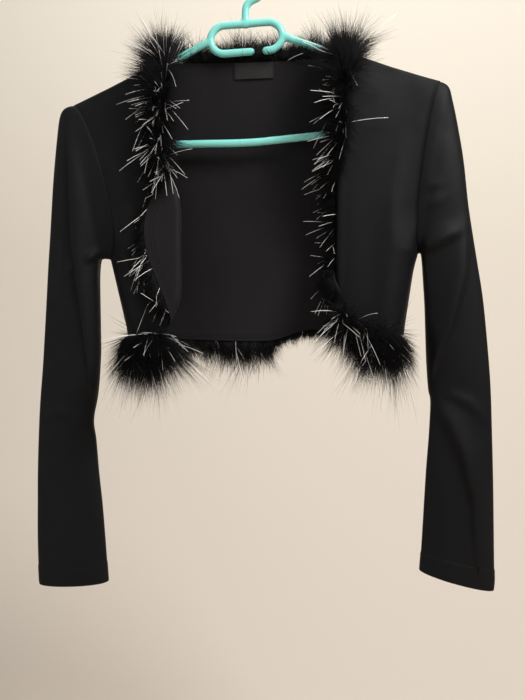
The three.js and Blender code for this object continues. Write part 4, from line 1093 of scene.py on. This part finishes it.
# Trims: node, places of the strip, comb, strands of fluff, strands of tinsel, how far tinsel strays, how much
# closer together fluff stands at the strip's end, and tinsel the same
TRIMS = [
    ("trim_neck", edge_stations(back, 0.33, 0.67, 1.0, 1), COMB_NECK, 15000, 60, 0.3, 0, 0),
    ("trim_front_right", front_stations(front_right, 0.13, 0.97), COMB_FRONT_RIGHT,
     23500, 215, 0.28, 0.7, 0.3),
    ("trim_front_left", front_stations(front_left, 0.08, 0.97), COMB_FRONT_LEFT,
     23500, 115, 0.28, 0.8, 0.95),
    ("trim_hem_right", edge_stations(front_right.flat, 0.2, 0.98, 0.0, -1), COMB_HEM_RIGHT,
     16000, 95, 0.45, 0, 0),
    ("trim_hem_left", edge_stations(front_left.flat, 0.16, 0.98, 0.0, -1), COMB_HEM_LEFT,
     16500, 95, 0.4, 0, 0),
    ("trim_hem_back", edge_stations(back, 0.06, 0.94, 0.0, 1), COMB_HEM_BACK, 14500, 80, 0.4, 0, 0),
]
LONG_SHARE = 0.3  # of a trim's fluff; the rest is short, straight underfur
SPARE = {"fluff": 1.8, "tinsel": 3}  # strands tried for each one kept
HAIR = {"long": (0.14, 0.28), "short": (0.26, 0.46)}  # thinnest and thickest radius
TINSEL_SIZE = {"radius": 0.48, "flat": 0.4}
KINK = {"share": 0.3, "far": 7}
DROOP = np.array([0, -0.05, -0.16])  # how far a strand of unit length sags
BETWEEN = {"right": -150.0, "left": 190.0, "front": -82.0, "back": 54.0}  # where strands may reach


def make_trim(rng, node, stations, comb, fluff, tinsel, astray, crowded, gathered):
    """Long fluff, underfur, the cord they grow from and silver strands, made in that order."""
    made = []

    def add(kind, slot, paths, radius, material, **form):
        piece = strand_mesh(node.replace("trim", kind), paths, radius, material, **form)
        made.append(piece)

    tall = int(fluff * LONG_SHARE)
    paths = kept(strand_paths(stations, comb, rng, int(tall * SPARE["fluff"]), crowded, 40, bends=2,
                              stray=0.11, curl=0.22), tall)
    add("fluff", "fluff", paths, rng.uniform(*HAIR["long"], len(paths)), FLUFF)
    paths = kept(strand_paths(stations, comb, rng, int((fluff - tall) * SPARE["fluff"]), crowded, 30, bends=1,
                              stray=0.22, shortest=0.45, reach=0.8, wild=0.25), fluff - tall)
    add("down", "fluff", paths, rng.uniform(*HAIR["short"], len(paths)), FLUFF)
    add("cord", "fluff", stations[None], STRIP["radius"], FLUFF, sides=10, point=False)
    paths = strand_paths(stations, comb, rng, tinsel * SPARE["tinsel"], gathered, 3, bends=4, stray=astray,
                         curl=0.05, shortest=0.45, reach=1.12)
    add("tinsel", "tinsel", kept(kinked(paths, rng), tinsel), TINSEL_SIZE["radius"], TINSEL,
        flat=TINSEL_SIZE["flat"], sides=4, point=False)
    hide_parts(node)
    return made


sew_everything()
bindings = []
for side, surface in (("right", sleeve_right), ("left", sleeve_left)):
    turn = np.linspace(0, 2 * math.pi, 90, endpoint=False)
    ring = surface(np.zeros_like(turn), turn)
    ring[:, 1] *= BINDING["narrower"]
    ring[:, 2] -= BINDING["lower"] * np.maximum(np.cos(turn), 0) ** 4
    bindings.append(bind_seam(f"armhole_binding_{side}", ring))

trim_pieces = []
for order, trim in enumerate(TRIMS):
    trim_pieces += make_trim(np.random.default_rng(100 + order), *trim)

for piece, slot in [(sleeve_right_piece, "knit"), (sleeve_left_piece, "knit"), (front_right_piece, "knit"),
                    (front_left_piece, "knit"), (back_piece, "knit"), (label_piece, "label_cloth"),
                    (hanger_piece, "hanger_plastic")]:
    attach(piece, "root")
for piece in trim_pieces + bindings + sum(stitch_pieces.values(), []):
    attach(piece, "root")

# Cloth as it was cut: piece, width and length before it was hung, what it rests on
CUTS = [
    (back_piece, 0.395, 0.31, [hanger_piece]),
    (front_right_piece, 0.17, 0.31, [hanger_piece]),
    (front_left_piece, 0.135, 0.31, [hanger_piece]),
    (sleeve_right_piece, 0.375, 0.545, [back_piece, front_right_piece]),
    (sleeve_left_piece, 0.375, 0.545, [back_piece, front_left_piece]),
    (label_piece, 0.044, 0.0175, [back_piece]),
]
for piece, width, length, under in CUTS:
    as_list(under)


# Camera, floor and light, in metres

def make_camera():
    target, distance, yaw = Vector((0.02, 0, -0.4245)), 0.9, math.radians(7)
    camera = put("camera", bpy.data.cameras.new("camera"))
    camera.location = target + Vector((math.sin(yaw), -math.cos(yaw), 0)) * distance
    camera.rotation_euler = (math.radians(90), 0, yaw)
    camera.data.sensor_width = 36
    camera.data.lens = 42.07
    camera.data.clip_start = 0.02
    bpy.context.scene.camera = camera


def make_floor():
    """A pale floor that curves up far behind, as in a photo studio, its colour painted darker lower down as
    shade.
    """
    low, far, bend, high, near, wide = -1.1, 1.5, 1.0, 1.6, -3.0, 3.5
    profile = [(near, low), (far - bend, low)]
    profile += [(far - bend + bend * math.sin(a), low + bend - bend * math.cos(a))
                for a in np.radians(np.linspace(6, 90, 15))]
    profile += [(far, high)]
    points = [(x, y, z) for y, z in profile for x in (-wide, wide)]
    faces = [(2 * i, 2 * i + 1, 2 * i + 3, 2 * i + 2) for i in range(len(profile) - 1)]
    mesh = bpy.data.meshes.new("floor")
    mesh.from_pydata(points, [], faces)
    mesh.polygons.foreach_set("use_smooth", [True] * len(faces))
    material, tree, shader, coords = node_material("floor_pale", (0.84, 0.79, 0.7), 0.9,
                                                   Specular_IOR_Level=0.1)
    height = tree.nodes.new("ShaderNodeSeparateXYZ")
    tree.links.new(coords, height.inputs[0])
    # Painted shade: the sweep's colour runs from darker at the floor to lighter high up, standing in for less
    # light reaching it low down.
    painted_shade_by_height = map_node(tree, height.outputs["Z"], low, 0.6, 0, 1)
    colour_by(tree, shader, painted_shade_by_height, 0, (0.69, 0.62, 0.55), 1, (0.88, 0.83, 0.74))
    mesh.materials.append(material)
    put("floor", mesh)


def make_light(name, place, target, size, power, colour):
    data = bpy.data.lights.new(name, "AREA")
    data.shape = "DISK"
    data.size = size
    data.energy = power
    data.color = colour
    light = put(name, data)
    light.location = place
    light.rotation_euler = (Vector(target) - Vector(place)).to_track_quat("-Z", "Y").to_euler()


def make_world():
    world = bpy.data.worlds.new("studio")
    world.use_nodes = True
    background = world.node_tree.nodes["Background"]
    background.inputs["Color"].default_value = (1, 0.97, 0.93, 1)
    background.inputs["Strength"].default_value = 0.3
    bpy.context.scene.world = world


make_camera()
make_floor()
make_light("key", (1.1, -1.0, 0.9), (0.02, 0, -0.35), 0.8, 44, (1, 0.98, 0.95))
make_light("fill", (-1.3, -1.2, -0.1), (0.02, 0, -0.4), 0.9, 5, (0.95, 0.97, 1))
make_light("sweep", (0, 0.2, 1.5), (0, 1.4, -0.1), 1.6, 14, (1, 0.96, 0.91))
make_world()
bpy.context.scene.view_settings.view_transform = "Standard"
